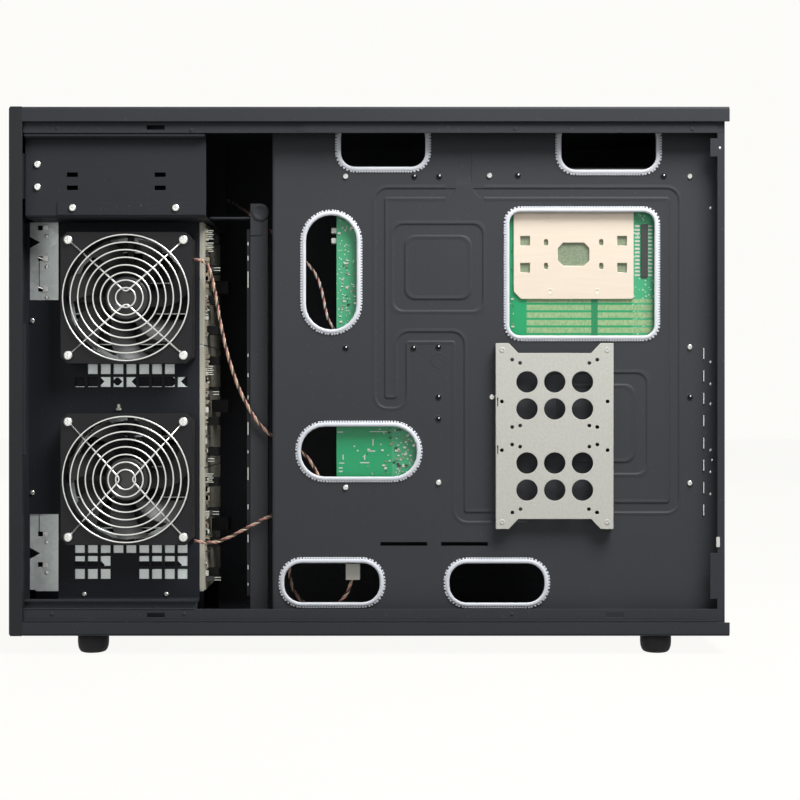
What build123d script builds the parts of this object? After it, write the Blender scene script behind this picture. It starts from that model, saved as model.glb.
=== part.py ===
from build123d import *
import math
import os

os.makedirs("parts", exist_ok=True)

# A tower server case with its right side cover off, in millimetres.
# X runs from the front (-X) to the rear, Y from the open right side (-Y) to the left, Z up from the desk.

# Overall size and the sheet that the chassis is folded from
case_depth = 645.0
case_width = 210.0
case_height = 491.0
foot_height = 17.0
sheet = 1.2
fold_radius = 2.2
fold_steps = 2

# Covers and rails
top_lip = 13.5
bottom_lip = 12.3
rail_setback = 4.0
roof_rail = 22.0
floor_rail = 22.6
rear_overhang = 3.5
hook_length = 16.0
hook_height = 4.0
hook_drop = 17.0
hook_front_inset = 119.0
hook_spacing = 412.0
side_panel_gap = 0.5

# Front bezel
bezel_depth = 12.0
bezel_front = 3.0
bezel_side = 2.5
bezel_chamfer = 1.5
button_y = 80.0
button_drop = 51.0
button_radius = 6.0
button_clearance = 0.4
button_travel = 2.0
button_recess = 0.5
button_sides = 12
button_guide_wall = 2.5
button_guide_length = 19.5
button_guide_end = 2.0
button_spring_room = 6.0

# Drive cage and its trays
bay_count = 12
tray_pitch = 28.4
cage_width = 110.0
cage_sheet = 1.0
cage_front_inset = 6.5
cage_length = 161.5
cage_floor_gap = 32.8
cage_leg = 24.0
ledge_width = 3.0
ledge_height = 1.0
window_size = 4.5
window_inset = 10.0
window_rise = 23.4
window_bays = [0, 1, 9, 10, 11]
carrier_side_gap = 0.7
carrier_rest_gap = 0.3
carrier_height = 20.0
carrier_wall = 1.5
carrier_length = 148.0
carrier_front_thickness = 5.0
carrier_front_height = 26.2
carrier_grip_width = 60.0
carrier_grip_height = 12.0
carrier_grip_wall = 2.0
opening_clearance = 1.3
backplane_thickness = 1.6
backplane_split = 1.0
bays_per_backplane = 4
socket_width = 16.0
socket_height = 8.0
socket_reach = 11.0
power_socket_width = 24.0
power_socket_height = 12.0
power_socket_reach = 16.0

# 5.25 inch bay
bay_wall = 1.0
bay_length = 163.1
bay_right_inset = 12.0
bay_width = 149.0
bay_slot_pitch_x = 79.25
bay_slot_pitch_z = 11.84
bay_slot_front = 42.4
bay_slot_rise = 26.8
bay_slot_length = 10.0
bay_slot_width = 4.0
bay_cover_rise = 16.8
bay_cover_height = 41.5
bay_cover_wall = 2.0
bay_cover_arm = 20.0
bay_cover_recess = 1.0
bay_cover_clearance = 0.4
bay_clamp_length = 134.0
bay_clamp_height = 11.7
bay_clamp_thickness = 1.0

# Fan plate, fans and grilles
fan_plate_front = 27.0
fan_plate_length = 130.7
fan_plate_drop = 9.2
fan_plate_foot = 24.0
fan_wing_low = 70.3
fan_wing_height = 198.5
fan_size = 120.0
fan_depth = 25.0
fan_corner = 6.0
fan_hole_spacing = 105.0
fan_bore_radius = 58.0
fan_bore_sides = 20
fan_passage_radius = 54.0
fan_column = 67.4
upper_fan_rise = 269.2
lower_fan_rise = 103.9
fan_hub_radius = 20.0
fan_hub_sides = 14
fan_hub_length = 19.0
fan_hub_front = 2.5
motor_radius = 22.0
motor_sides = 12
motor_thickness = 2.5
strut_width = 6.0
strut_end_gap = 2.0
shaft_radius = 1.5
shaft_clearance = 0.05
shaft_end_gap = 0.5
blade_count = 7
blade_tip_gap = 2.0
blade_thickness = 1.4
blade_chord = 22.0
blade_angle = 38.0
blade_root_depth = 4.0
vent_size = 9.2
vent_pitch = 11.9
wire = 1.6
ring_count = 8
ring_inner_radius = 9.0
ring_pitch = 6.9
ring_sides = 8
grille_vertex = 5.0
eyelet_radius = 4.6
eyelet_sides = 6
screw_head_radius = 3.8
screw_head_height = 2.0
screw_head_sides = 6

# Motherboard tray
tray_inset = 22.0
tray_length = 406.5
tray_lip = 6.0
board_width = 330.2
board_height = 304.8
board_thickness = 1.6
board_rear_gap = 18.0
board_floor_gap = 116.2
standoff_height = 6.5
standoff_across = 6.0
standoff_front_inset = 8.6
standoff_middle = 93.9
standoff_rear_inset = 8.5
standoff_low_inset = 13.2
standoff_half_rise = 140.9
standoff_top_inset = 8.8
tray_screw_radius = 3.4
tray_screw_height = 1.8
header_depth = 8.0
header_size = 9.0
header_inset = 0.5
upper_header_rise = 13.4
panel_header_rise = 154.4
lower_header_reach = 16.8
corner_steps = 2
groove_width = 8.8
groove_depth = 0.6
groove_corner = 7.0
bead_width = 13.6
ring_groove = 10.8
ring_corner = 14.0
edging_width = 5.2
edging_height = 1.6
cable_slot_length = 42.5
cable_slot_width = 3.5

# Rear panel
recess_depth = 13.8
recess_left_gap = 5.0
recess_low = 98.6
recess_height = 330.0
io_length = 158.75
io_width = 44.45
io_rise = 263.6
slot_count = 8
slot_pitch = 20.32
slot_length = 100.0
slot_opening = 12.0
slot_top_rise = 251.2
board_to_slots = 4.8
psu_width = 140.0
psu_height = 76.0
psu_right_gap = 45.0
psu_rise = 18.6
rear_flange = 5.4
rear_tab = 6.4
lower_tab_rise = 9.2
lower_tab_height = 41.0
upper_tab_drop = 4.8
upper_tab_height = 16.2
slot_cover_width = 18.4
slot_cover_thickness = 0.8
slot_cover_lap = 4.0
slot_tongue_width = 10.0
slot_tongue_reach = 1.5
slot_tongue_clearance = 0.6

# Drive bracket, socket plate, post, feet
bracket_width = 106.0
bracket_height = 167.7
bracket_stand = 11.0
bracket_dx = 32.5
bracket_dz = -92.2
bracket_hole_radius = 9.65
bracket_hole_sides = 8
bracket_hole_pitch_x = 25.0
bracket_hole_pitch_z = 24.4
bracket_group_dz = 36.6
drive_hole_length = 76.6
drive_hole_width = 61.72
drive_hole_radius = 1.7
drive_group_dz = 38.4
notch_wide = 83.1
notch_narrow = 65.8
notch_depth = 9.0
socket_plate_width = 109.7
socket_plate_height = 81.7
socket_plate_thickness = 2.2
socket_plate_dx = 51.5
socket_plate_dz = 73.4
plate_corner = 6.0
plate_window_width = 28.0
plate_window_height = 21.0
plate_square = 9.0
plate_square_pitch_x = 87.0
plate_square_pitch_z = 24.5
post_width = 16.6
post_depth = 12.0
post_tray_gap = 5.3
post_setback = 40.0
post_top_rise = 16.3
post_cap_sides = 12
post_bridge_height = 6.0
strip_thickness = 3.1
strip_low = 28.3
strip_length = 338.2
strip_depth = 4.0
foot_radius = 14.0
foot_tip_radius = 11.75
foot_sides = 10
foot_inset_y = 22.0
front_foot_inset = 71.5
rear_foot_inset = 62.5

# Leads
lead_radius = 1.5
lead_sides = 3
connector_width = 13.0
connector_depth = 9.0
connector_height = 15.0
connector_bore = 5.0

# Places worked out from the sizes above
front_x = -case_depth / 2
rear_x = case_depth / 2
right_y = -case_width / 2
left_y = case_width / 2
body_front_x = front_x + bezel_depth
panel_rear_x = rear_x - rear_overhang - sheet
roof_top_z = case_height - sheet
roof_z = roof_top_z - sheet
floor_bottom_z = foot_height + sheet
floor_z = floor_bottom_z + sheet
rail_y = left_y - rail_setback
top_lip_z = case_height - top_lip
bottom_lip_z = foot_height + bottom_lip
roof_rail_z = roof_top_z - roof_rail
floor_rail_z = floor_bottom_z + floor_rail
tray_front_y = right_y + tray_inset
tray_back_y = tray_front_y + sheet
tray_left_x = panel_rear_x - tray_length
board_back_y = tray_back_y + standoff_height
board_front_y = board_back_y + board_thickness
board_x = panel_rear_x - board_rear_gap - board_width / 2
board_z = floor_z + board_floor_gap + board_height / 2
board_left_x = board_x - board_width / 2
board_bottom_z = board_z - board_height / 2
cage_front_x = front_x + cage_front_inset
cage_rear_x = cage_front_x + cage_length
cage_bottom_z = floor_z + cage_floor_gap
cage_top_z = cage_bottom_z + bay_count * tray_pitch
cage_half = cage_width / 2
cage_outer_y = cage_half + cage_sheet
bay_right_y = right_y + bay_right_inset
bay_left_y = bay_right_y + bay_width
bay_rear_x = body_front_x + bay_length
plate_front_y = -cage_outer_y - sheet
fan_front_y = plate_front_y - fan_depth
fan_x = cage_front_x + fan_plate_front + fan_column
upper_fan_z = cage_bottom_z + upper_fan_rise
lower_fan_z = cage_bottom_z + lower_fan_rise
recess_x = panel_rear_x - recess_depth
post_right_x = tray_left_x - post_tray_gap
post_left_x = post_right_x - post_width
post_front_y = right_y + post_setback
post_top_z = cage_top_z + post_top_rise
post_cap_z = post_top_z - post_width / 2
button_z = case_height - button_drop
button_hole_length = bezel_front + button_guide_length - button_guide_end
button_length = button_hole_length - button_recess - button_travel - button_spring_room
standoff_columns = [standoff_front_inset, standoff_middle, board_width - standoff_rear_inset]
standoff_rows = [standoff_low_inset, standoff_half_rise, board_height - standoff_top_inset]


# Construction helpers
def side_plane(y):
    """Upright plane square to Y: local x is X, local y is Z, and a negative extrusion goes to the left side."""
    return Plane.XZ.offset(-y)


def rectangle(low_u, high_u, low_v, high_v, mode=Mode.ADD):
    """Rectangle of the sketch in work, given by its four limits."""
    with Locations(((low_u + high_u) / 2, (low_v + high_v) / 2)):
        Rectangle(high_u - low_u, high_v - low_v, mode=mode)


def folded_sheet(plane, points, thickness, radius):
    """Section of a folded sheet: a line whose folds are rounded in a few steps, thickened to its left."""
    line = [points[0]]
    for before, fold, after in zip(points, points[1:], points[2:]):
        arriving = (Vector(*fold) - Vector(*before)).normalized()
        leaving = (Vector(*after) - Vector(*fold)).normalized()
        for step in range(fold_steps + 1):
            angle = math.radians(90 * step / fold_steps)
            spot = Vector(*fold) - arriving * radius * (1 - math.sin(angle)) + leaving * radius * (1 - math.cos(angle))
            line.append((spot.X, spot.Y))
    line.append(points[-1])
    with BuildSketch(plane, mode=Mode.PRIVATE) as section:
        with BuildLine():
            Polyline(*line)
            offset(amount=thickness, side=Side.LEFT, kind=Kind.INTERSECTION)
        make_face()
    return section.sketch


def eased_rectangle(width, height, radius, mode=Mode.ADD):
    """Rectangle of the sketch in work, its corners rounded in a few straight steps."""
    corner = min(radius, width / 2, height / 2)
    reach = corner / math.cos(math.radians(45 / corner_steps))
    points = []
    for turn, u, v in ((0, 1, 1), (90, -1, 1), (180, -1, -1), (270, 1, -1)):
        for step in range(corner_steps):
            angle = math.radians(turn + 90 * (step + 0.5) / corner_steps)
            across = u * (width / 2 - corner) + reach * math.cos(angle)
            points.append((across, v * (height / 2 - corner) + reach * math.sin(angle)))
    Polygon(*points, align=None, mode=mode)


def save(part, name):
    part.label = name
    export_step(part, f"parts/{name}.step")


# Top and bottom covers: steel caps folded down and up over the chassis
with BuildPart() as top_cover:
    extrude(
        folded_sheet(
            Plane.YZ.offset(body_front_x),
            [(left_y, top_lip_z), (left_y, case_height), (right_y, case_height), (right_y, top_lip_z)],
            sheet,
            fold_radius,
        ),
        amount=rear_x - body_front_x,
    )
save(top_cover.part, "top_cover")

with BuildPart() as bottom_cover:
    extrude(
        folded_sheet(
            Plane.YZ.offset(body_front_x),
            [(right_y, bottom_lip_z), (right_y, foot_height), (left_y, foot_height), (left_y, bottom_lip_z)],
            sheet,
            fold_radius,
        ),
        amount=rear_x - body_front_x,
    )
save(bottom_cover.part, "bottom_cover")

# Roof and floor of the chassis, with the slotted rails that the side covers hook into
hook_xs = [body_front_x + hook_front_inset, body_front_x + hook_front_inset + hook_spacing]
with BuildPart() as roof_panel:
    extrude(
        folded_sheet(
            Plane.YZ.offset(body_front_x),
            [(rail_y, roof_rail_z), (rail_y, roof_top_z), (-rail_y, roof_top_z), (-rail_y, roof_rail_z)],
            sheet,
            fold_radius,
        ),
        amount=panel_rear_x - body_front_x,
    )
    with BuildSketch(side_plane(-rail_y)):
        with Locations(*[(x, roof_top_z - hook_drop) for x in hook_xs]):
            Rectangle(hook_length, hook_height)
    extrude(amount=-2 * rail_y, mode=Mode.SUBTRACT)
save(roof_panel.part, "roof_panel")

with BuildPart() as floor_panel:
    extrude(
        folded_sheet(
            Plane.YZ.offset(body_front_x),
            [(-rail_y, floor_rail_z), (-rail_y, floor_bottom_z), (rail_y, floor_bottom_z), (rail_y, floor_rail_z)],
            sheet,
            fold_radius,
        ),
        amount=panel_rear_x - body_front_x,
    )
    with BuildSketch(side_plane(-rail_y)):
        with Locations(*[(x, floor_bottom_z + hook_drop) for x in hook_xs]):
            Rectangle(hook_length, hook_height)
    extrude(amount=-2 * rail_y, mode=Mode.SUBTRACT)
save(floor_panel.part, "floor_panel")

# Front bezel: a moulded frame, hollow behind, with the tray opening, the bay opening and the button guide
carrier_half = cage_half - carrier_side_gap
bay_cover_low = cage_top_z + bay_cover_rise
bay_cover_high = bay_cover_low + bay_cover_height
guide_x = front_x + bezel_front
with BuildPart() as front_bezel:
    with BuildSketch(Plane.YZ.offset(front_x)):
        rectangle(right_y, left_y, foot_height, case_height)
    extrude(amount=bezel_depth)
    chamfer(front_bezel.faces().sort_by(Axis.X)[0].edges(), bezel_chamfer)
    with BuildSketch(Plane.YZ.offset(front_x + bezel_front)):
        rectangle(
            right_y + bezel_side, left_y - bezel_side, foot_height + bezel_side, case_height - bezel_side
        )
    extrude(amount=bezel_depth - bezel_front, mode=Mode.SUBTRACT)
    with BuildSketch(Plane.YZ.offset(guide_x)):
        with Locations((button_y, button_z)):
            RegularPolygon(button_radius + button_clearance + button_guide_wall, button_sides)
    extrude(amount=button_guide_length)
    with BuildSketch(Plane.YZ.offset(front_x)):
        rectangle(
            -carrier_half - opening_clearance,
            carrier_half + opening_clearance,
            cage_bottom_z - opening_clearance,
            cage_top_z,
        )
        rectangle(
            bay_right_y + bay_wall - bay_cover_clearance,
            bay_left_y - bay_wall + bay_cover_clearance,
            bay_cover_low - bay_cover_clearance,
            bay_cover_high + bay_cover_clearance,
        )
    extrude(amount=bezel_front, mode=Mode.SUBTRACT)
    with BuildSketch(Plane.YZ.offset(front_x)):
        with Locations((button_y, button_z)):
            RegularPolygon(button_radius + button_clearance, button_sides)
    extrude(amount=button_hole_length, mode=Mode.SUBTRACT)
save(front_bezel.part, "front_bezel")

with BuildPart() as power_button:
    with BuildSketch(Plane.YZ.offset(front_x + button_recess)):
        with Locations((button_y, button_z)):
            RegularPolygon(button_radius, button_sides)
    extrude(amount=button_length)
save(power_button.part, "power_button")

# Left side panel: a shallow pan whose folded edge rests on the left rails
with BuildPart() as left_side_panel:
    with BuildSketch(side_plane(left_y)):
        rectangle(
            body_front_x + side_panel_gap,
            panel_rear_x + sheet - side_panel_gap,
            bottom_lip_z + side_panel_gap,
            top_lip_z - side_panel_gap,
        )
    extrude(amount=rail_setback)
    with BuildSketch(side_plane(left_y - sheet)):
        rectangle(
            body_front_x + side_panel_gap + sheet,
            panel_rear_x - side_panel_gap,
            bottom_lip_z + side_panel_gap + sheet,
            top_lip_z - side_panel_gap - sheet,
        )
    extrude(amount=rail_setback - sheet, mode=Mode.SUBTRACT)
save(left_side_panel.part, "left_side_panel")

# Rear panel: a sheet cut out for the recess and the power supply, with a flange on its right edge
recess_right_y = tray_back_y
recess_left_y = rail_y - recess_left_gap
recess_bottom_z = floor_z + recess_low
recess_top_z = recess_bottom_z + recess_height
slots_right_y = recess_right_y + board_to_slots
slot_zs = [floor_z + slot_top_rise - slot_pitch * number for number in range(slot_count)]
psu_right_y = right_y + psu_right_gap
psu_bottom_z = floor_z + psu_rise
io_bottom_z = floor_z + io_rise
with BuildPart() as rear_panel:
    with BuildSketch(Plane.YZ.offset(panel_rear_x)):
        rectangle(-rail_y, rail_y, floor_bottom_z, roof_top_z)
        rectangle(recess_right_y, recess_left_y, recess_bottom_z, recess_top_z, mode=Mode.SUBTRACT)
        rectangle(
            psu_right_y, psu_right_y + psu_width, psu_bottom_z, psu_bottom_z + psu_height, mode=Mode.SUBTRACT
        )
    extrude(amount=sheet)
    with BuildSketch(side_plane(-rail_y)):
        rectangle(panel_rear_x - rear_flange, panel_rear_x, floor_rail_z, roof_rail_z)
        rectangle(
            panel_rear_x - rear_flange - rear_tab,
            panel_rear_x - rear_flange,
            floor_rail_z + lower_tab_rise,
            floor_rail_z + lower_tab_rise + lower_tab_height,
        )
        rectangle(
            panel_rear_x - rear_flange - rear_tab,
            panel_rear_x - rear_flange,
            roof_rail_z - upper_tab_drop - upper_tab_height,
            roof_rail_z - upper_tab_drop,
        )
    extrude(amount=-sheet)
save(rear_panel.part, "rear_panel")

# Recess in the rear panel: a frame of four walls, closed in front by the plate with the slots
with BuildPart() as recess_frame:
    with BuildSketch(Plane.YZ.offset(recess_x + sheet)):
        rectangle(recess_right_y, recess_left_y, recess_bottom_z, recess_top_z)
        rectangle(
            recess_right_y + sheet,
            recess_left_y - sheet,
            recess_bottom_z + sheet,
            recess_top_z - sheet,
            mode=Mode.SUBTRACT,
        )
    extrude(amount=recess_depth)
save(recess_frame.part, "recess_frame")

with BuildPart() as slot_plate:
    with BuildSketch(Plane.YZ.offset(recess_x)):
        rectangle(recess_right_y, recess_left_y, recess_bottom_z, recess_top_z)
        rectangle(slots_right_y, slots_right_y + io_width, io_bottom_z, io_bottom_z + io_length, mode=Mode.SUBTRACT)
        with Locations(*[(slots_right_y + slot_length / 2, z) for z in slot_zs]):
            Rectangle(slot_length, slot_opening, mode=Mode.SUBTRACT)
    extrude(amount=sheet)
save(slot_plate.part, "slot_plate")

# Motherboard tray: pressed steel with cable cut-outs and stiffening grooves
board_cutouts = [
    (-169.6, 56.3, 46.6, 104.5, 23.2),
    (-144.5, -106.6, 105.9, 46.1, 22.0),
    (58.3, 55.0, 132.4, 112.9, 10.0),
]
roof_cutouts = [
    (-122.4, -33.6, 77.2, 30.0, 13.0),
    (82.7, -34.9, 86.8, 32.6, 13.0),
]
floor_cutouts = [
    (-168.9, 42.8, 87.3, 36.4, 16.0),
    (-19.0, 42.5, 86.9, 36.4, 16.0),
]
cutouts = [(board_x + dx, board_z + dz, w, h, r) for dx, dz, w, h, r in board_cutouts]
cutouts += [(board_x + dx, roof_z + dz, w, h, r) for dx, dz, w, h, r in roof_cutouts]
cutouts += [(board_x + dx, floor_z + dz, w, h, r) for dx, dz, w, h, r in floor_cutouts]
groove_line = [
    (30.0, -157.5),
    (142.1, -157.5),
    (142.1, 128.5),
    (-125.2, 128.5),
    (-125.2, -62.4),
    (-105.7, -62.4),
    (-105.7, -2.0),
    (-52.9, -2.0),
    (-52.9, -166.1),
    (8.0, -166.1),
]
bead_line = [(-48.4, 135.0), (-48.4, 169.0)]
groove_rings = [
    (-72.5, 60.8, 81.8, 79.1),
    (71.3, -81.0, 92.0, 91.9),
]
cable_slots = [(-103.6, -190.6), (-48.4, -190.6)]


def stepped_band(points, width, radius):
    """Outline of a band along a line of square turns, its corners rounded in a few steps."""
    edges = []
    for side in (-1, 1):
        first = (Vector(*points[1]) - Vector(*points[0])).normalized()
        last = (Vector(*points[-1]) - Vector(*points[-2])).normalized()
        edge = [Vector(*points[0]) + Vector(-first.Y, first.X) * side * width / 2]
        for before, corner, after in zip(points, points[1:], points[2:]):
            arriving = (Vector(*corner) - Vector(*before)).normalized()
            leaving = (Vector(*after) - Vector(*corner)).normalized()
            turn = arriving.X * leaving.Y - arriving.Y * leaving.X
            centre = Vector(*corner) + (leaving - arriving) * radius
            reach = (radius - side * turn * width / 2) / math.cos(math.radians(45 / corner_steps))
            for step in range(corner_steps):
                angle = math.radians(90 * (step + 0.5) / corner_steps)
                edge.append(centre - leaving * reach * math.cos(angle) + arriving * reach * math.sin(angle))
        edge.append(Vector(*points[-1]) + Vector(-last.Y, last.X) * side * width / 2)
        edges.append([(spot.X, spot.Y) for spot in edge])
    return edges[0] + edges[1][::-1]


def pressed_grooves(plane):
    """Plan of the pressed grooves, seen from the open side."""
    with BuildSketch(plane, mode=Mode.PRIVATE) as plan:
        with Locations((board_x, board_z)):
            Polygon(*stepped_band(groove_line, groove_width, groove_corner), align=None)
            Polygon(*stepped_band(bead_line, bead_width, groove_corner), align=None)
        for dx, dz, width, height in groove_rings:
            with Locations((board_x + dx, board_z + dz)):
                eased_rectangle(width, height, ring_corner)
                eased_rectangle(
                    width - 2 * ring_groove, height - 2 * ring_groove, ring_corner - ring_groove, Mode.SUBTRACT
                )
    return plan.sketch


with BuildPart() as motherboard_tray:
    extrude(
        folded_sheet(
            Plane.XY.offset(floor_z),
            [
                (tray_left_x, tray_front_y + tray_lip),
                (tray_left_x, tray_front_y),
                (panel_rear_x, tray_front_y),
            ],
            sheet,
            fold_radius,
        ),
        amount=roof_z - floor_z,
    )
    extrude(pressed_grooves(side_plane(tray_front_y)), amount=-groove_depth, mode=Mode.SUBTRACT)
    with BuildSketch(side_plane(tray_front_y)):
        for x, z, width, height, radius in cutouts:
            with Locations((x, z)):
                eased_rectangle(width, height, radius)
        with Locations(*[(board_x + dx, board_z + dz) for dx, dz in cable_slots]):
            Rectangle(cable_slot_length, cable_slot_width)
        with Locations(*[(recess_x - slot_cover_thickness / 2, z) for z in slot_zs]):
            Rectangle(
                slot_cover_thickness + 2 * slot_tongue_clearance, slot_tongue_width + 2 * slot_tongue_clearance
            )
    extrude(amount=-sheet, mode=Mode.SUBTRACT)
save(motherboard_tray.part, "motherboard_tray")

# Edging strip round each cut-out
with BuildPart() as cable_edging:
    with BuildSketch(side_plane(tray_front_y)):
        for x, z, width, height, radius in cutouts:
            with Locations((x, z)):
                eased_rectangle(width + 2 * edging_width, height + 2 * edging_width, radius + edging_width)
                eased_rectangle(width, height, radius, Mode.SUBTRACT)
    extrude(amount=edging_height)
save(cable_edging.part, "cable_edging")

# Blank covers of the expansion slots, with tongues that stand in the tray
with BuildPart() as slot_covers:
    with BuildSketch(Plane.YZ.offset(recess_x - slot_cover_thickness)):
        with Locations(*[(slots_right_y + slot_length / 2 + slot_cover_lap / 2, z) for z in slot_zs]):
            Rectangle(slot_length + slot_cover_lap, slot_cover_width)
        for z in slot_zs:
            rectangle(
                tray_front_y - slot_tongue_reach, slots_right_y, z - slot_tongue_width / 2, z + slot_tongue_width / 2
            )
    extrude(amount=slot_cover_thickness)
save(slot_covers.part, "slot_covers")

# Mainboard on its standoffs, with the plate behind its socket
lower_header_x = board_left_x + lower_header_reach
with BuildPart() as mainboard:
    with BuildSketch(side_plane(board_back_y)):
        with Locations((board_x, board_z)):
            Rectangle(board_width, board_height)
    extrude(amount=-board_thickness)
    with BuildSketch(side_plane(board_front_y)):
        for z in (board_bottom_z + upper_header_rise, board_bottom_z + panel_header_rise):
            rectangle(
                board_left_x + header_inset,
                board_left_x + header_inset + header_size,
                z - header_size / 2,
                z + header_size / 2,
            )
        rectangle(
            lower_header_x - header_size / 2,
            lower_header_x + header_size / 2,
            board_bottom_z + header_inset,
            board_bottom_z + header_inset + header_size,
        )
    extrude(amount=-header_depth)
save(mainboard.part, "mainboard")

with BuildPart() as board_standoffs:
    with BuildSketch(side_plane(tray_back_y)):
        with Locations(*[(board_left_x + u, board_bottom_z + v) for u in standoff_columns for v in standoff_rows]):
            RegularPolygon(standoff_across / 2, 6, major_radius=False)
    extrude(amount=-standoff_height)
save(board_standoffs.part, "board_standoffs")

with BuildSketch(mode=Mode.PRIVATE) as plate_window:
    Rectangle(plate_window_width, plate_window_height)
    chamfer(plate_window.vertices(), plate_corner)
with BuildPart() as cpu_back_plate:
    with BuildSketch(side_plane(board_back_y)):
        with Locations((board_x + socket_plate_dx, board_z + socket_plate_dz)):
            eased_rectangle(socket_plate_width, socket_plate_height, plate_corner)
            add(plate_window.sketch, mode=Mode.SUBTRACT)
            with GridLocations(plate_square_pitch_x, plate_square_pitch_z, 2, 2):
                Rectangle(plate_square, plate_square, mode=Mode.SUBTRACT)
    extrude(amount=socket_plate_thickness)
save(cpu_back_plate.part, "cpu_back_plate")

# Bracket for two 2.5 inch drives, folded to stand off the tray
bracket_x = board_x + bracket_dx
bracket_z = board_z + bracket_dz
bracket_front_y = tray_front_y - bracket_stand
with BuildPart() as drive_bracket:
    extrude(
        folded_sheet(
            Plane.XY.offset(bracket_z - bracket_height / 2),
            [
                (bracket_x - bracket_width / 2, tray_front_y),
                (bracket_x - bracket_width / 2, bracket_front_y),
                (bracket_x + bracket_width / 2, bracket_front_y),
                (bracket_x + bracket_width / 2, tray_front_y),
            ],
            sheet,
            fold_radius,
        ),
        amount=bracket_height,
    )
    with BuildSketch(side_plane(bracket_front_y)):
        for side in (-1, 1):
            edge_z = bracket_z + side * bracket_height / 2
            with BuildLine():
                Polyline(
                    (bracket_x - notch_wide / 2, edge_z),
                    (bracket_x - notch_narrow / 2, edge_z - side * notch_depth),
                    (bracket_x + notch_narrow / 2, edge_z - side * notch_depth),
                    (bracket_x + notch_wide / 2, edge_z),
                    close=True,
                )
            make_face()
            with Locations((bracket_x, bracket_z + side * bracket_group_dz)):
                with GridLocations(bracket_hole_pitch_x, bracket_hole_pitch_z, 3, 2):
                    RegularPolygon(bracket_hole_radius, bracket_hole_sides)
            with Locations((bracket_x, bracket_z + side * drive_group_dz)):
                with GridLocations(drive_hole_length, drive_hole_width, 2, 2):
                    Circle(drive_hole_radius)
    extrude(amount=-sheet, mode=Mode.SUBTRACT)
save(drive_bracket.part, "drive_bracket")

# Box of the 5.25 inch bay, its clamp strip and its blank cover
bay_slot_x = body_front_x + bay_slot_front + bay_slot_pitch_x / 2
bay_slot_z = cage_top_z + bay_slot_rise + bay_slot_pitch_z / 2
with BuildPart() as bay_box:
    extrude(
        folded_sheet(
            Plane.YZ.offset(body_front_x),
            [
                (bay_right_y, roof_z),
                (bay_right_y, cage_top_z),
                (bay_left_y, cage_top_z),
                (bay_left_y, roof_z),
            ],
            bay_wall,
            fold_radius,
        ),
        amount=bay_length,
    )
    with BuildSketch(side_plane(bay_right_y)):
        with Locations((bay_slot_x, bay_slot_z)):
            with GridLocations(bay_slot_pitch_x, bay_slot_pitch_z, 2, 2):
                Rectangle(bay_slot_length, bay_slot_width)
    extrude(amount=-bay_wall, mode=Mode.SUBTRACT)
    with BuildSketch(side_plane(bay_right_y)):
        rectangle(
            bay_rear_x - bay_clamp_length,
            bay_rear_x,
            cage_top_z + fold_radius,
            cage_top_z + fold_radius + bay_clamp_height,
        )
    extrude(amount=bay_clamp_thickness)
save(bay_box.part, "bay_box")

bay_cover_x = front_x + bay_cover_recess
with BuildPart() as bay_cover:
    with BuildSketch(Plane.XY.offset(bay_cover_low)):
        rectangle(bay_cover_x, body_front_x + bay_cover_arm, bay_right_y + bay_wall, bay_left_y - bay_wall)
        rectangle(
            bay_cover_x + bay_cover_wall,
            body_front_x + bay_cover_arm,
            bay_right_y + bay_wall + bay_cover_wall,
            bay_left_y - bay_wall - bay_cover_wall,
            mode=Mode.SUBTRACT,
        )
    extrude(amount=bay_cover_height)
save(bay_cover.part, "bay_cover")

# Drive cage: two galvanised walls with a ledge for each tray, and passages for the fans in one of them
bay_floors = [cage_bottom_z + tray_pitch * number for number in range(bay_count)]
for wall_name, wall_y in (("cage_right_wall", -cage_outer_y), ("cage_left_wall", cage_half)):
    ledge_y = wall_y + cage_sheet if wall_y < 0 else wall_y - ledge_width
    with BuildPart() as cage_wall:
        with BuildSketch(side_plane(wall_y)):
            rectangle(cage_front_x, cage_rear_x, cage_bottom_z, cage_top_z)
            rectangle(body_front_x, body_front_x + cage_leg, floor_z, cage_bottom_z)
            rectangle(cage_rear_x - cage_leg, cage_rear_x, floor_z, cage_bottom_z)
            if wall_y < 0:
                for bay in window_bays:
                    with Locations((cage_front_x + window_inset, bay_floors[bay] + window_rise)):
                        Rectangle(window_size, window_size, mode=Mode.SUBTRACT)
                with Locations((fan_x, upper_fan_z), (fan_x, lower_fan_z)):
                    RegularPolygon(fan_passage_radius, fan_bore_sides, mode=Mode.SUBTRACT)
        extrude(amount=-cage_sheet)
        with BuildSketch(side_plane(ledge_y)):
            for z in bay_floors:
                rectangle(cage_front_x, cage_rear_x, z, z + ledge_height)
        extrude(amount=-ledge_width)
    save(cage_wall.part, wall_name)

# Hot-swap drive trays: a thin carrier behind a front plate with a pull grip
carrier_front_x = cage_front_x - carrier_front_thickness
for number, bay_floor in enumerate(bay_floors, start=1):
    low_z = bay_floor + ledge_height + carrier_rest_gap
    grip_low = low_z + (carrier_front_height - carrier_grip_height) / 2
    with BuildPart() as drive_tray:
        with BuildSketch(Plane.YZ.offset(carrier_front_x)):
            rectangle(-carrier_half, carrier_half, low_z, low_z + carrier_front_height)
        extrude(amount=carrier_front_thickness)
        with BuildSketch(Plane.YZ.offset(carrier_front_x)):
            rectangle(
                -carrier_grip_width / 2, carrier_grip_width / 2, grip_low, grip_low + carrier_grip_height
            )
        extrude(amount=carrier_front_thickness - carrier_grip_wall, mode=Mode.SUBTRACT)
        with BuildSketch(Plane.YZ.offset(cage_front_x)):
            rectangle(-carrier_half, carrier_half, low_z, low_z + carrier_height)
            rectangle(
                -carrier_half + carrier_wall,
                carrier_half - carrier_wall,
                low_z + carrier_wall,
                low_z + carrier_height,
                mode=Mode.SUBTRACT,
            )
        extrude(amount=carrier_length)
    save(drive_tray.part, f"drive_tray_{number:02d}")

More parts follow.
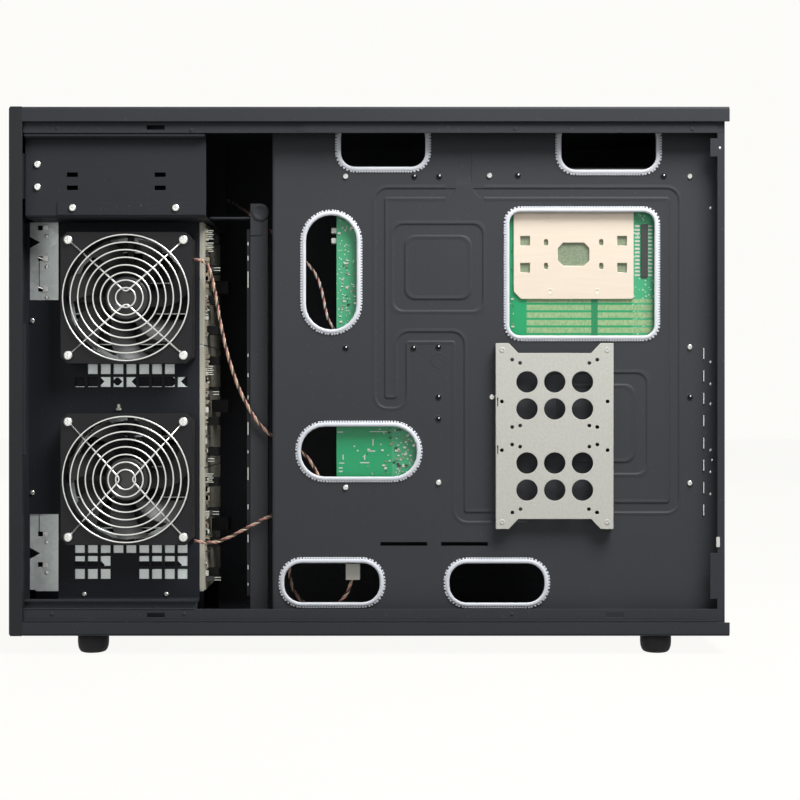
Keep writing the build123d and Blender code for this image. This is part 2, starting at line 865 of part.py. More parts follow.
# Backplanes: three boards across the rear of the cage, with their sockets
backplane_count = bay_count // bays_per_backplane
backplane_height = bays_per_backplane * tray_pitch - backplane_split
with BuildPart() as backplanes:
    with BuildSketch(Plane.YZ.offset(cage_rear_x)):
        for board in range(backplane_count):
            low_z = cage_bottom_z + board * bays_per_backplane * tray_pitch
            rectangle(-cage_outer_y, cage_outer_y, low_z, low_z + backplane_height)
    extrude(amount=backplane_thickness)
    with BuildSketch(Plane.YZ.offset(cage_rear_x + backplane_thickness)):
        with Locations(*[(-cage_half + socket_width, z + tray_pitch / 2) for z in bay_floors]):
            Rectangle(socket_width, socket_height)
    extrude(amount=socket_reach)
    with BuildSketch(Plane.YZ.offset(cage_rear_x + backplane_thickness)):
        for board in range(backplane_count):
            with Locations((0, cage_bottom_z + (board + 0.5) * bays_per_backplane * tray_pitch)):
                Rectangle(power_socket_width, power_socket_height)
    extrude(amount=power_socket_reach)
save(backplanes.part, "backplanes")

# Fan plate: black sheet on the cage wall, with the fan holes, square vents and a foot on the floor
plate_x = cage_front_x + fan_plate_front
plate_low_z = cage_bottom_z - fan_plate_drop
vent_rows = [
    (204.8, range(1, 8)),
    (192.8, range(0, 9)),
    (38.8, range(0, 9)),
    (26.8, (0, 1, 2, 5, 6, 7, 8)),
    (14.8, (0, 1, 2, 5, 6, 7, 8)),
]
with BuildPart() as fan_plate:
    extrude(
        folded_sheet(
            Plane.YZ.offset(plate_x),
            [
                (plate_front_y, cage_top_z),
                (plate_front_y, plate_low_z),
                (plate_front_y - fan_plate_foot, plate_low_z),
                (plate_front_y - fan_plate_foot, floor_z),
            ],
            sheet,
            fold_radius,
        ),
        amount=fan_plate_length,
    )
    with BuildSketch(side_plane(plate_front_y)):
        rectangle(
            cage_front_x, plate_x, cage_bottom_z + fan_wing_low, cage_bottom_z + fan_wing_low + fan_wing_height
        )
    extrude(amount=-sheet)
    with BuildSketch(side_plane(plate_front_y)):
        with Locations((fan_x, upper_fan_z), (fan_x, lower_fan_z)):
            RegularPolygon(fan_bore_radius, fan_bore_sides)
        for rise, columns in vent_rows:
            for column in columns:
                with Locations((fan_x + (column - 4) * vent_pitch, cage_bottom_z + rise)):
                    Rectangle(vent_size, vent_size)
    extrude(amount=-sheet, mode=Mode.SUBTRACT)
save(fan_plate.part, "fan_plate")

# Fans: square frames with a motor plate on struts, and rotors on their shafts
hub_front_y = fan_front_y + fan_hub_front
hub_back_y = hub_front_y + fan_hub_length
motor_front_y = plate_front_y - motor_thickness
blade_middle_y = hub_front_y + fan_hub_length / 2
blade_pitch = math.radians(blade_angle)
blade_root = fan_hub_radius - blade_root_depth
blade_end = math.sqrt((fan_bore_radius - blade_tip_gap) ** 2 - (blade_chord / 2) ** 2)
for fan_name, fan_z in (("upper_fan", upper_fan_z), ("lower_fan", lower_fan_z)):
    with BuildPart() as fan_frame:
        with BuildSketch(side_plane(fan_front_y)) as frame_outline:
            with Locations((fan_x, fan_z)):
                Rectangle(fan_size, fan_size)
            chamfer(frame_outline.vertices(), fan_corner)
            with Locations((fan_x, fan_z)):
                RegularPolygon(fan_bore_radius, fan_bore_sides, mode=Mode.SUBTRACT)
        extrude(amount=-fan_depth)
        with BuildSketch(side_plane(motor_front_y)):
            with Locations((fan_x, fan_z)):
                RegularPolygon(motor_radius, motor_sides)
                Rectangle(strut_width, fan_size - strut_end_gap)
                Rectangle(fan_size - strut_end_gap, strut_width)
                Circle(shaft_radius + shaft_clearance, mode=Mode.SUBTRACT)
        extrude(amount=-motor_thickness)
    save(fan_frame.part, f"{fan_name}_frame")

    with BuildPart() as fan_rotor:
        with BuildSketch(side_plane(hub_front_y)):
            with Locations((fan_x, fan_z)):
                RegularPolygon(fan_hub_radius, fan_hub_sides)
        extrude(amount=-fan_hub_length)
        with BuildSketch(side_plane(hub_back_y)):
            with Locations((fan_x, fan_z)):
                Circle(shaft_radius)
        extrude(amount=hub_back_y - plate_front_y + shaft_end_gap)
        for number in range(blade_count):
            turn = math.radians(360 / blade_count * number)
            outward = Vector(math.cos(turn), 0, math.sin(turn))
            tangent = Vector(-outward.Z, 0, outward.X)
            chord_way = tangent * math.cos(blade_pitch) + Vector(0, math.sin(blade_pitch), 0)
            place = Vector(fan_x, blade_middle_y, fan_z) + outward * blade_root
            with BuildSketch(Plane(origin=place, x_dir=chord_way, z_dir=outward)):
                Rectangle(blade_chord, blade_thickness)
            extrude(amount=blade_end - blade_root)
    save(fan_rotor.part, f"{fan_name}_rotor")

# Wire grilles: concentric rings on two bent wires that end in eyelets
ring_radii = [ring_inner_radius + ring_pitch * number for number in range(ring_count)]
half_spacing = fan_hole_spacing / 2
corner_signs = [(-1, -1), (1, -1), (-1, 1), (1, 1)]
for fan_name, fan_z, upright in (("upper_fan", upper_fan_z, True), ("lower_fan", lower_fan_z, False)):
    with BuildPart() as fan_grille:
        with BuildSketch(side_plane(fan_front_y)):
            for side in (-1, 1):
                if upright:
                    bend = (fan_x, fan_z + side * grille_vertex)
                    ends = [(fan_x - half_spacing, fan_z + side * half_spacing)]
                    ends.append((fan_x + half_spacing, fan_z + side * half_spacing))
                else:
                    bend = (fan_x + side * grille_vertex, fan_z)
                    ends = [(fan_x + side * half_spacing, fan_z - half_spacing)]
                    ends.append((fan_x + side * half_spacing, fan_z + half_spacing))
                for end in ends:
                    run = math.dist(end, bend)
                    tilt = math.degrees(math.atan2(end[1] - bend[1], end[0] - bend[0]))
                    with Locations(((end[0] + bend[0]) / 2, (end[1] + bend[1]) / 2)):
                        Rectangle(run + wire, wire, rotation=tilt)
            with Locations(*[(fan_x + u * half_spacing, fan_z + v * half_spacing) for u, v in corner_signs]):
                RegularPolygon(eyelet_radius, eyelet_sides)
        extrude(amount=wire)
        with BuildSketch(side_plane(fan_front_y - wire)):
            with Locations((fan_x, fan_z)):
                for radius in reversed(ring_radii):
                    RegularPolygon(radius + wire / 2, ring_sides)
                    RegularPolygon(radius - wire / 2, ring_sides, mode=Mode.SUBTRACT)
        extrude(amount=wire)
    save(fan_grille.part, f"{fan_name}_grille")

with BuildPart() as grille_screws:
    with BuildSketch(side_plane(fan_front_y - wire)):
        for fan_z in (upper_fan_z, lower_fan_z):
            with Locations(*[(fan_x + u * half_spacing, fan_z + v * half_spacing) for u, v in corner_signs]):
                RegularPolygon(screw_head_radius, screw_head_sides)
    extrude(amount=screw_head_height)
save(grille_screws.part, "grille_screws")

# Centre post between the cage and the tray, its bridge to the bay box and its strip
with BuildPart() as centre_post:
    extrude(
        folded_sheet(
            Plane.XY.offset(floor_z),
            [
                (post_left_x, post_front_y + post_depth),
                (post_left_x, post_front_y),
                (post_right_x, post_front_y),
                (post_right_x, post_front_y + post_depth),
            ],
            sheet,
            fold_radius,
        ),
        amount=post_cap_z - floor_z,
    )
    with BuildSketch(side_plane(post_front_y)):
        rectangle(
            bay_rear_x,
            post_left_x + fold_radius,
            cage_top_z - post_bridge_height / 2,
            cage_top_z + post_bridge_height / 2,
        )
    extrude(amount=-sheet)
    with BuildSketch(side_plane(post_front_y)):
        with Locations(((post_left_x + post_right_x) / 2, post_cap_z)):
            RegularPolygon(post_width / 2, post_cap_sides)
    extrude(amount=-sheet)
save(centre_post.part, "centre_post")

strip_bottom_z = floor_z + strip_low
with BuildPart() as post_strip:
    with BuildSketch(side_plane(post_front_y + fold_radius)):
        rectangle(post_left_x - strip_thickness, post_left_x, strip_bottom_z, strip_bottom_z + strip_length)
    extrude(amount=-strip_depth)
save(post_strip.part, "post_strip")

# Screw heads on the tray, one over each standoff
with BuildPart() as tray_screws:
    with BuildSketch(side_plane(tray_front_y)):
        with Locations(*[(board_left_x + u, board_bottom_z + v) for u in standoff_columns for v in standoff_rows]):
            RegularPolygon(tray_screw_radius, screw_head_sides)
    extrude(amount=tray_screw_height)
save(tray_screws.part, "tray_screws")

# Rubber feet
with BuildPart() as rubber_feet:
    for x in (front_x + front_foot_inset, rear_x - rear_foot_inset):
        for y in (right_y + foot_inset_y, left_y - foot_inset_y):
            for height, radius in ((0, foot_tip_radius), (foot_height, foot_radius)):
                with BuildSketch(Plane.XY.offset(height)):
                    with Locations((x, y)):
                        RegularPolygon(radius, foot_sides)
            loft(ruled=True)
save(rubber_feet.part, "rubber_feet")

# Leads: each route is a list of points, rounded as widely as its runs allow
upper_fan_route = [
    (-161.6, -70.0, 357.0),
    (-155.0, -70.0, 357.0),
    (-149.5, -70.0, 353.0),
    (-146.0, -69.8, 345.0),
    (-142.6, -69.2, 329.0),
    (-137.0, -68.5, 296.0),
    (-130.5, -68.5, 268.0),
    (-122.0, -69.0, 242.0),
    (-112.0, -70.0, 221.5),
    (-101.0, -70.5, 205.0),
    (-88.0, -70.5, 193.5),
    (-73.0, -70.0, 187.0),
    (-59.5, -69.5, 178.5),
    (-51.5, -69.5, 167.0),
    (-46.0, -69.5, 155.5),
    (-38.5, -69.5, 149.0),
    (-29.9, -69.5, 149.0),
]
lower_fan_route = [
    (-161.6, -70.0, 99.0),
    (-147.0, -70.5, 96.0),
    (-131.0, -71.0, 101.0),
    (-110.7, -72.0, 112.0),
    (-92.0, -71.5, 122.0),
    (-80.0, -64.0, 125.0),
    (-75.0, -53.0, 118.0),
    (-75.0, -46.0, 104.0),
    (-76.0, -45.0, 84.0),
    (-76.0, -46.0, 64.0),
    (-71.0, -50.0, 48.0),
    (-60.0, -55.0, 38.0),
    (-46.0, -60.0, 34.5),
    (-32.0, -65.0, 38.0),
    (-22.0, -68.5, 48.0),
    (-16.5, -69.5, 62.0),
    (-14.5, -69.5, 80.0),
    (-14.0, -69.5, 100.0),
    (-13.6, -69.5, 120.0),
    (-13.6, -69.6, 136.0),
]
panel_route = [
    (-300.0, 80.0, 440.0),
    (-288.0, 80.0, 440.0),
    (-266.0, 79.0, 437.0),
    (-236.0, 77.5, 434.0),
    (-206.0, 76.0, 436.0),
    (-178.0, 73.0, 438.0),
    (-154.0, 66.0, 434.0),
    (-138.0, 49.0, 425.0),
    (-129.0, 24.0, 417.0),
    (-122.0, -4.0, 411.5),
    (-114.0, -29.0, 404.0),
    (-103.0, -45.0, 394.0),
    (-89.0, -50.0, 383.0),
    (-74.0, -53.0, 370.0),
    (-60.0, -57.0, 357.0),
    (-50.0, -61.0, 345.0),
    (-44.5, -64.5, 330.0),
    (-41.5, -67.5, 314.0),
    (-38.0, -69.5, 300.0),
    (-31.0, -69.5, 291.0),
]


def bend_radii(points):
    """Radius of each bend: 0.45 of the shorter run, over the tangent of half the turn."""
    radii = []
    for before, here, after in zip(points, points[1:], points[2:]):
        arriving = Vector(*here) - Vector(*before)
        leaving = Vector(*after) - Vector(*here)
        half_turn = math.radians(arriving.get_angle(leaving)) / 2
        radii.append(0.45 * min(arriving.length, leaving.length) / math.tan(half_turn))
    return radii


for lead_name, route in (
    ("upper_fan_lead", upper_fan_route),
    ("lower_fan_lead", lower_fan_route),
    ("panel_lead", panel_route),
):
    radii = bend_radii(route)
    with BuildPart() as lead:
        with BuildLine() as path:
            FilletPolyline(*route, radius=radii)
        lead_line = path.wire()
        with BuildSketch(Plane(origin=lead_line @ 0, z_dir=lead_line % 0)) as lead_section:
            RegularPolygon(lead_radius, lead_sides)
        sweep(path=lead_line)
    print(lead_name, "length", round(lead_line.length, 1), "least radius", round(min(radii), 1))
    print("  volume over section times length", lead.part.volume / (lead_section.sketch.area * lead_line.length))
    save(lead.part, lead_name)

# White connector that joins the lower fan lead to the board
connector_x = lower_fan_route[15][0] + 1.0
connector_y = lower_fan_route[15][1]
connector_z = (lower_fan_route[15][2] + lower_fan_route[16][2]) / 2
with BuildPart() as lead_connector:
    with BuildSketch(Plane.XY.offset(connector_z - connector_height / 2)):
        with Locations((connector_x, connector_y)):
            Rectangle(connector_width, connector_depth)
            Rectangle(connector_bore, connector_bore, mode=Mode.SUBTRACT)
    extrude(amount=connector_height)
save(lead_connector.part, "lead_connector")
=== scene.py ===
import bmesh
import bpy
import math
import random
from mathutils import Matrix, Vector


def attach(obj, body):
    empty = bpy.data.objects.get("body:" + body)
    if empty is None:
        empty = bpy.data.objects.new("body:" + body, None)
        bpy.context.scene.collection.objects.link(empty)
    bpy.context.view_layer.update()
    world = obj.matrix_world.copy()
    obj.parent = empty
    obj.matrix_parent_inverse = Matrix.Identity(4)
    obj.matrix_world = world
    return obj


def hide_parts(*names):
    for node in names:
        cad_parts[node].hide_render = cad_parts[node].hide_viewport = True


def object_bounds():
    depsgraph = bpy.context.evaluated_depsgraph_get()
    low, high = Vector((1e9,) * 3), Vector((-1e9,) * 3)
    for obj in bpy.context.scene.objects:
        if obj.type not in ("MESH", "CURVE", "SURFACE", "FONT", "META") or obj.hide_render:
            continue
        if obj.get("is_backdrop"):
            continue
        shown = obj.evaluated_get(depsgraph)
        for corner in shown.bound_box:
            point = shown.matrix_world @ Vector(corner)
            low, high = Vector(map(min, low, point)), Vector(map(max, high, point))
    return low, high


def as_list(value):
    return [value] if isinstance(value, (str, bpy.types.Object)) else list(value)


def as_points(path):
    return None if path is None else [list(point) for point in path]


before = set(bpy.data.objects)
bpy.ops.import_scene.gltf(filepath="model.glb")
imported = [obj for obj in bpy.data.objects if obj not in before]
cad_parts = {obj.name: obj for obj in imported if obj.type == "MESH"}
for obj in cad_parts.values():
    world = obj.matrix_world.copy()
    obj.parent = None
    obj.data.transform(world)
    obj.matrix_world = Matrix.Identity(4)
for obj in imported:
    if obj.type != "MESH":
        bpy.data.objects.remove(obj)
cad_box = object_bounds()

# Studio. A white room with one large soft lamp overhead, a weak one low in front and one for the far sides.
# The camera stands square to the open side of the case, a little under half way up.
bpy.context.scene.view_settings.view_transform = "Standard"
eye = bpy.data.cameras.new("eye")
eye.lens = 65.42
eye.sensor_width = 36.0
eye.clip_end = 50.0
camera = bpy.data.objects.new("camera", eye)
camera.location = (0.02765, -1.405, 0.2283)
camera.rotation_euler = (math.radians(90), 0, 0)
bpy.context.scene.collection.objects.link(camera)
bpy.context.scene.camera = camera

case_middle = Vector((0, 0, 0.25))
for lamp_name, lamp_place, lamp_size, lamp_power in (
    ("overhead_lamp", (0.48, -0.72, 1.35), 0.7, 25.0),
    ("front_lamp", (-1.20, -2.60, 0.90), 1.8, 8.0),
    ("rear_lamp", (-0.60, 2.60, 1.40), 1.8, 22.0),
):
    lamp = bpy.data.lights.new(lamp_name, "AREA")
    lamp.size = lamp_size
    lamp.energy = lamp_power
    lamp_stand = bpy.data.objects.new(lamp_name, lamp)
    lamp_stand.location = lamp_place
    lamp_aim = case_middle - Vector(lamp_place)
    lamp_stand.rotation_euler = lamp_aim.to_track_quat("-Z", "Y").to_euler()
    bpy.context.scene.collection.objects.link(lamp_stand)


class Socket:
    """A socket of a material. Sums and products of sockets add Math nodes to its tree."""

    def __init__(self, tree, socket=None):
        self.tree = tree
        self.socket = socket

    def node(self, kind, settings=None, inputs=None, output=0):
        made = self.tree.nodes.new(kind)
        for name, value in (settings or {}).items():
            setattr(made, name, value)
        for name, value in (inputs or {}).items():
            if isinstance(value, Socket):
                self.tree.links.new(value.socket, made.inputs[name])
            else:
                made.inputs[name].default_value = value
        return Socket(self.tree, made.outputs[output] if len(made.outputs) else None)

    def math(self, operation, first, second=0.0):
        return self.node("ShaderNodeMath", {"operation": operation}, {0: first, 1: second})

    def __add__(self, other):
        return self.math("ADD", self, other)

    def __sub__(self, other):
        return self.math("SUBTRACT", self, other)

    def __rsub__(self, other):
        return self.math("SUBTRACT", other, self)

    def __mul__(self, other):
        return self.math("MULTIPLY", self, other)

    def __lt__(self, other):
        return self.math("LESS_THAN", self, other)

    def __gt__(self, other):
        return self.math("GREATER_THAN", self, other)

    def __abs__(self):
        return self.math("ABSOLUTE", self)

    __radd__ = __add__
    __rmul__ = __mul__


def looked_at(tree):
    """One where the camera, a mirror or glass looks at a surface, and nought where it only gives light."""
    seen = tree.node("ShaderNodeLightPath", output="Is Camera Ray")
    mirrored = tree.node("ShaderNodeLightPath", output="Is Glossy Ray")
    through = tree.node("ShaderNodeLightPath", output="Is Transmission Ray")
    return seen + mirrored + through > 0.5


warm_white = (1, 0.994, 0.97, 1)
room = bpy.data.worlds.new("room")
bpy.context.scene.world = room
room.use_nodes = True
room.node_tree.nodes.clear()
air = Socket(room.node_tree)
soft_light = air.node("ShaderNodeBackground", {}, {"Color": (1, 1, 1, 1), "Strength": 0.13})
white_room = air.node("ShaderNodeBackground", {}, {"Color": warm_white, "Strength": 0.975})
sky = air.node("ShaderNodeMixShader", {}, {0: looked_at(air), 1: soft_light, 2: white_room})
air.node("ShaderNodeOutputWorld", {}, {"Surface": sky})

# Most of the floor's white glows, and the rest of it takes the object's shadow.
floor_glow = 0.94
floor_finish = bpy.data.materials.new("studio_floor")
floor_finish.use_nodes = True
floor_finish.node_tree.nodes.clear()
ground = Socket(floor_finish.node_tree)
matt_grey = ground.node("ShaderNodeBsdfDiffuse", {}, {"Color": (0.30, 0.30, 0.29, 1)})
matt_white = ground.node("ShaderNodeBsdfDiffuse", {}, {"Color": (0.92, 0.92, 0.90, 1)})
bright_white = ground.node("ShaderNodeEmission", {}, {"Color": warm_white, "Strength": 1.0})
shaded_white = ground.node("ShaderNodeMixShader", {}, {0: floor_glow, 1: matt_white, 2: bright_white})
floor_look = ground.node("ShaderNodeMixShader", {}, {0: looked_at(ground), 1: matt_grey, 2: shaded_white})
ground.node("ShaderNodeOutputMaterial", {}, {"Surface": floor_look})
floor_mesh = bpy.data.meshes.new("studio_floor")
floor_mesh.from_pydata([(-6, -5, 0), (6, -5, 0), (6, 7, 0), (-6, 7, 0)], [], [(0, 1, 2, 3)])
floor_mesh.materials.append(floor_finish)
studio_floor = bpy.data.objects.new("studio_floor", floor_mesh)
bpy.context.scene.collection.objects.link(studio_floor)
studio_floor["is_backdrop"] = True


# Chassis sheets: the floor, the roof, the rear wall with its recess, the closed side and two folded covers.
# Cold rolled steel, folded, riveted and powder coated matt black.
def finish(name, fixed, build):
    """A material: fixed values stand on the shader's own sockets, and build gives what varies."""
    made = bpy.data.materials.new(name)
    made.use_nodes = True
    shader = made.node_tree.nodes["Principled BSDF"]
    for socket, value in fixed.items():
        shader.inputs[socket].default_value = value
    for socket, source in build(Socket(made.node_tree)).items():
        made.node_tree.links.new(source.socket, shader.inputs[socket])
    return made


def own_place(sheet):
    """A point in the object's own coordinates, in metres."""
    return sheet.node("ShaderNodeTexCoord", output="Object")


def noise(sheet, scale, detail=3.0, stretch=(1, 1, 1)):
    """Noise on the object's own coordinates, in repeats to the metre."""
    spread = sheet.node("ShaderNodeVectorMath", {"operation": "MULTIPLY"}, {0: own_place(sheet), 1: stretch})
    return sheet.node("ShaderNodeTexNoise", {}, {"Vector": spread, "Scale": scale, "Detail": detail})


def tint(sheet, factor, first, second):
    """A colour between two colours."""
    return sheet.node("ShaderNodeMix", {"data_type": "RGBA"}, {0: factor, 6: first, 7: second}, 2)


def bumped(sheet, height, strength, distance):
    """A normal that follows a height."""
    inputs = {"Strength": strength, "Distance": distance, "Height": height}
    return sheet.node("ShaderNodeBump", {}, inputs)


def powder_coat(dark, light, rough):
    """Matt powder coat: fine orange peel, faint clouds and a few specks of dust."""

    def build(sheet):
        peel = noise(sheet, 650.0, 2.0)
        cloud = noise(sheet, 7.0, 5.0)
        dust = noise(sheet, 420.0, 1.0) > 0.73
        shade = tint(sheet, cloud, (*dark, 1), (*light, 1))
        return {
            "Base Color": tint(sheet, dust * 0.3, shade, (0.13, 0.13, 0.135, 1)),
            "Roughness": rough - 0.1 + 0.2 * cloud,
            "Normal": bumped(sheet, peel, 0.12, 0.0002),
        }

    return build


def mottled(dark, light, scale, rough, rough_spread, rough_scale):
    """A surface of two close shades, with an uneven gloss."""
    return lambda sheet: {
        "Base Color": tint(sheet, noise(sheet, scale), (*dark, 1), (*light, 1)),
        "Roughness": rough + rough_spread * noise(sheet, rough_scale),
    }


def dress(material, *nodes, edge=0.0):
    """Gives CAD nodes their finish, and softens their edges where a width in millimetres is given."""
    for name in nodes:
        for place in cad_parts[name].material_slots:
            place.material = material
        if edge:
            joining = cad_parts[name].modifiers.new("joined_faces", "WELD")
            joining.merge_threshold = 0.00001
            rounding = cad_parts[name].modifiers.new("edge", "BEVEL")
            rounding.width = edge * 0.001
            rounding.segments = 2
            rounding.limit_method = "ANGLE"
            rounding.angle_limit = math.radians(50)


def settle(name, made, materials, body, slot, *stands_for):
    """Turns a shape worked in millimetres into a piece that rides on its body."""
    mesh = made
    if isinstance(made, bmesh.types.BMesh):
        bmesh.ops.recalc_face_normals(made, faces=made.faces)
        mesh = bpy.data.meshes.new(name)
        made.to_mesh(mesh)
        made.free()
    mesh.transform(Matrix.Scale(0.001, 4))
    for material in materials:
        mesh.materials.append(material)
    piece = bpy.data.objects.new(name, mesh)
    bpy.context.scene.collection.objects.link(piece)
    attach(piece, body)
    if stands_for:
        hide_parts(*stands_for)
    return piece


def block(shape, low, high, edge, index=0):
    """A box with softened edges."""
    made = bmesh.ops.create_cube(shape, size=1.0)["verts"]
    for vert in made:
        vert.co = [a + (c + 0.5) * (b - a) for a, b, c in zip(low, high, vert.co)]
    for face in {f for vert in made for f in vert.link_faces}:
        face.material_index = index
    edges = list({e for vert in made for e in vert.link_edges})
    bmesh.ops.bevel(shape, geom=edges, offset=edge, segments=2, affect="EDGES", material=index)


def skin(shape, rows, ring=False, smooth=False, index=0):
    """Faces between neighbouring rows of points. A ring closes each row on itself."""
    for low, high in zip(rows, rows[1:]):
        for k in range(0 if ring else 1, len(low)):
            face = shape.faces.new((low[k - 1], low[k], high[k], high[k - 1]))
            face.smooth = smooth
            face.material_index = index


def turned(shape, rings, centre, sides, lathe, index=0):
    """A turned form: rings of (radius, height) pairs about a centre, standing along the lathe's axis."""
    rows = []
    for radius, height in rings:
        turns = [2 * math.pi * k / sides for k in range(sides)]
        spots = [lathe @ Vector((radius * math.cos(t), radius * math.sin(t), height)) for t in turns]
        rows.append([shape.verts.new(Vector(centre) + spot) for spot in spots])
    skin(shape, rows, ring=True, smooth=True, index=index)
    shape.faces.new(rows[-1]).material_index = index


to_open_side = Matrix.Rotation(math.pi / 2, 3, "X")
rivet_rings = ((1.0, 0.0), (0.97, 0.4), (0.75, 0.8), (0.4, 1.0))


def rivet(shape, x, y, z, radius, height, index=0):
    """A low round head that faces the open side."""
    rings = [(radius * reach, height * rise) for reach, rise in rivet_rings]
    turned(shape, rings, (x, y, z), 20, to_open_side, index)


black_steel = finish(
    "black_steel",
    {"Specular IOR Level": 0.08},
    powder_coat((0.042, 0.044, 0.050), (0.054, 0.056, 0.063), 0.5),
)
chassis_sheets = ("top_cover", "bottom_cover", "roof_panel", "floor_panel", "left_side_panel")
dress(black_steel, *chassis_sheets, edge=0.3)
dress(black_steel, "rear_panel", "recess_frame", "slot_plate", edge=0.3)
bright_rivet = finish(
    "bright_rivet",
    {"Metallic": 0.9},
    mottled((0.50, 0.50, 0.49), (0.74, 0.74, 0.72), 300.0, 0.28, 0.16, 500.0),
)
tray_face, rail_face, lap_face = -83.0, -101.0, -101.5
rail_laps = bmesh.new()
block(rail_laps, (-59.4, lap_face, 467.9), (312.0, rail_face, 488.6), 0.12)
block(rail_laps, (-65.2, -101.3, 469.2), (-60.4, rail_face, 473.0), 0.1)
for spot_x, spot_y, spot_z in (
    (-280.0, rail_face, 472.3),
    (-159.8, rail_face, 470.5),
    (130.8, lap_face, 471.4),
    (289.6, lap_face, 471.4),
    (-284.5, rail_face, 36.3),
    (-166.1, rail_face, 36.3),
    (128.0, rail_face, 36.3),
):
    rivet(rail_laps, spot_x, spot_y, spot_z, 1.8, 0.5)
settle("rail_laps", rail_laps, [black_steel], "root", "black_steel")
edge_rivets = bmesh.new()
for spot_z in (402.9, 262.9, 242.9, 224.7, 182.8, 162.8, 142.8):
    rivet(edge_rivets, 310.2, tray_face, spot_z, 1.3, 0.7)
rivet(edge_rivets, 311.6, tray_face, 173.7, 1.2, 0.7)
rivet(edge_rivets, 314.6, rail_face, 454.4, 1.2, 0.5)
block(edge_rivets, (311.2, -102.2, 96.4), (314.4, rail_face, 105.6), 0.4)
settle("edge_rivets", edge_rivets, [bright_rivet], "root", "nickel")
floor_lip = bmesh.new()
lip_left, lip_right, lip_back = -311.0, -155.0, -93.4
block(floor_lip, (lip_left, -94.6, 40.0), (lip_right, lip_back, 48.0), 0.3)
block(floor_lip, (lip_left, -97.4, 46.0), (lip_right, lip_back, 48.8), 1.2)
block(floor_lip, (-310.0, -104.6, 29.3), (312.0, rail_face, 31.2), 0.9)
block(floor_lip, (lip_left, rail_face, 39.6), (-156.0, lip_back, 40.8), 0.3)
settle("floor_lip", floor_lip, [black_steel], "root", "black_steel")

# Rubber feet: four moulded feet screwed under the floor, with rounded soles.
# Soft black rubber with a dusty bloom.
black_rubber = finish(
    "black_rubber",
    {"Specular IOR Level": 0.3},
    mottled((0.010, 0.010, 0.011), (0.026, 0.026, 0.028), 60.0, 0.62, 0.2, 200.0),
)
feet = bmesh.new()
foot_rings = ((13.2, 17.0), (13.9, 16.4), (14.0, 9.5), (13.6, 5.4), (12.6, 2.4))
foot_rings += ((11.2, 0.6), (9.8, 0.0), (5.2, 0.0), (4.4, 1.4), (0.8, 1.4))
for foot_x in (-251.0, 260.0):
    for foot_y in (-83.0, 83.0):
        turned(feet, foot_rings, (foot_x, foot_y, 0.0), 40, Matrix.Identity(3))
settle("foot_rubbers", feet, [black_rubber], "root", "black_rubber", "rubber_feet")


# Front bezel with the bay cover and the power button, moulded in black plastic.
# The bezel clips to the front of the chassis, with a catch strip inside; the button slides in its guide.
def moulded(dark, light, rough):
    """Moulded plastic with a fine spark-eroded grain."""

    def build(sheet):
        grain = noise(sheet, 1100.0, 2.0)
        return {
            "Base Color": tint(sheet, noise(sheet, 14.0), (*dark, 1), (*light, 1)),
            "Roughness": rough - 0.08 + 0.16 * grain,
            "Normal": bumped(sheet, grain, 0.15, 0.0001),
        }

    return build


black_plastic = finish(
    "black_plastic", {"Specular IOR Level": 0.25}, moulded((0.007, 0.007, 0.009), (0.012, 0.012, 0.014), 0.5)
)
bezel_plastic = finish(
    "bezel_plastic", {"Specular IOR Level": 0.1}, moulded((0.030, 0.0315, 0.034), (0.038, 0.0395, 0.042), 0.5)
)
dress(bezel_plastic, "front_bezel", "bay_cover", "power_button", edge=0.4)
catch_strip = bmesh.new()
block(catch_strip, (-312.6, -102.6, 178.0), (-307.9, -99.6, 297.4), 0.6)
settle("catch_strip", catch_strip, [bezel_plastic], "root", "black_plastic")

# Motherboard tray: a pressed steel sheet between floor and roof, powder coated.
# Stiffening channels, two rings and a bead are pressed into it round the board's screw places.
# A punch carries its two upper cut-outs up behind the rail and gives the rings their even corners.
tray_coat = finish(
    "tray_coat",
    {"Specular IOR Level": 0.1},
    powder_coat((0.050, 0.052, 0.058), (0.062, 0.064, 0.071), 0.46),
)


def rounded(points, radius, closed=False):
    """A line with its corners rounded, seven points to a corner."""
    result = []
    for number, corner in enumerate(points):
        here = Vector(corner)
        if not closed and number in (0, len(points) - 1):
            result.append(here)
            continue
        arriving = (here - Vector(points[number - 1])).normalized()
        leaving = (Vector(points[(number + 1) % len(points)]) - here).normalized()
        turn = arriving.angle_signed(leaving)
        centre = here + (leaving - arriving).normalized() * radius / math.cos(turn / 2)
        start = here - arriving * radius * abs(math.tan(turn / 2)) - centre
        for step in range(7):
            result.append(centre + Matrix.Rotation(-turn * step / 6, 2) @ start)
    return result


def box_line(x, z, width, height):
    """The four corners of an upright rectangle."""
    return [
        (x - width / 2, z - height / 2),
        (x + width / 2, z - height / 2),
        (x + width / 2, z + height / 2),
        (x - width / 2, z + height / 2),
    ]


ring_channel, ring_corner = 10.8, 9.5
rings = ((62.2, 348.8, 81.8, 79.1), (206.0, 207.0, 92.0, 91.9))


def ring_strip(shape, ring, section, closed):
    """A strip round a pressed ring. The section gives (outwards from the channel's middle, Y) pairs."""
    x, z, width, height = ring
    loops = []
    for aside, y in section:
        growth = 2 * aside - ring_channel
        line = rounded(box_line(x, z, width + growth, height + growth), ring_corner, closed=True)
        loops.append([shape.verts.new((spot.x, y, spot.y)) for spot in line])
    skin(shape, loops + loops[:1] if closed else loops, ring=True)


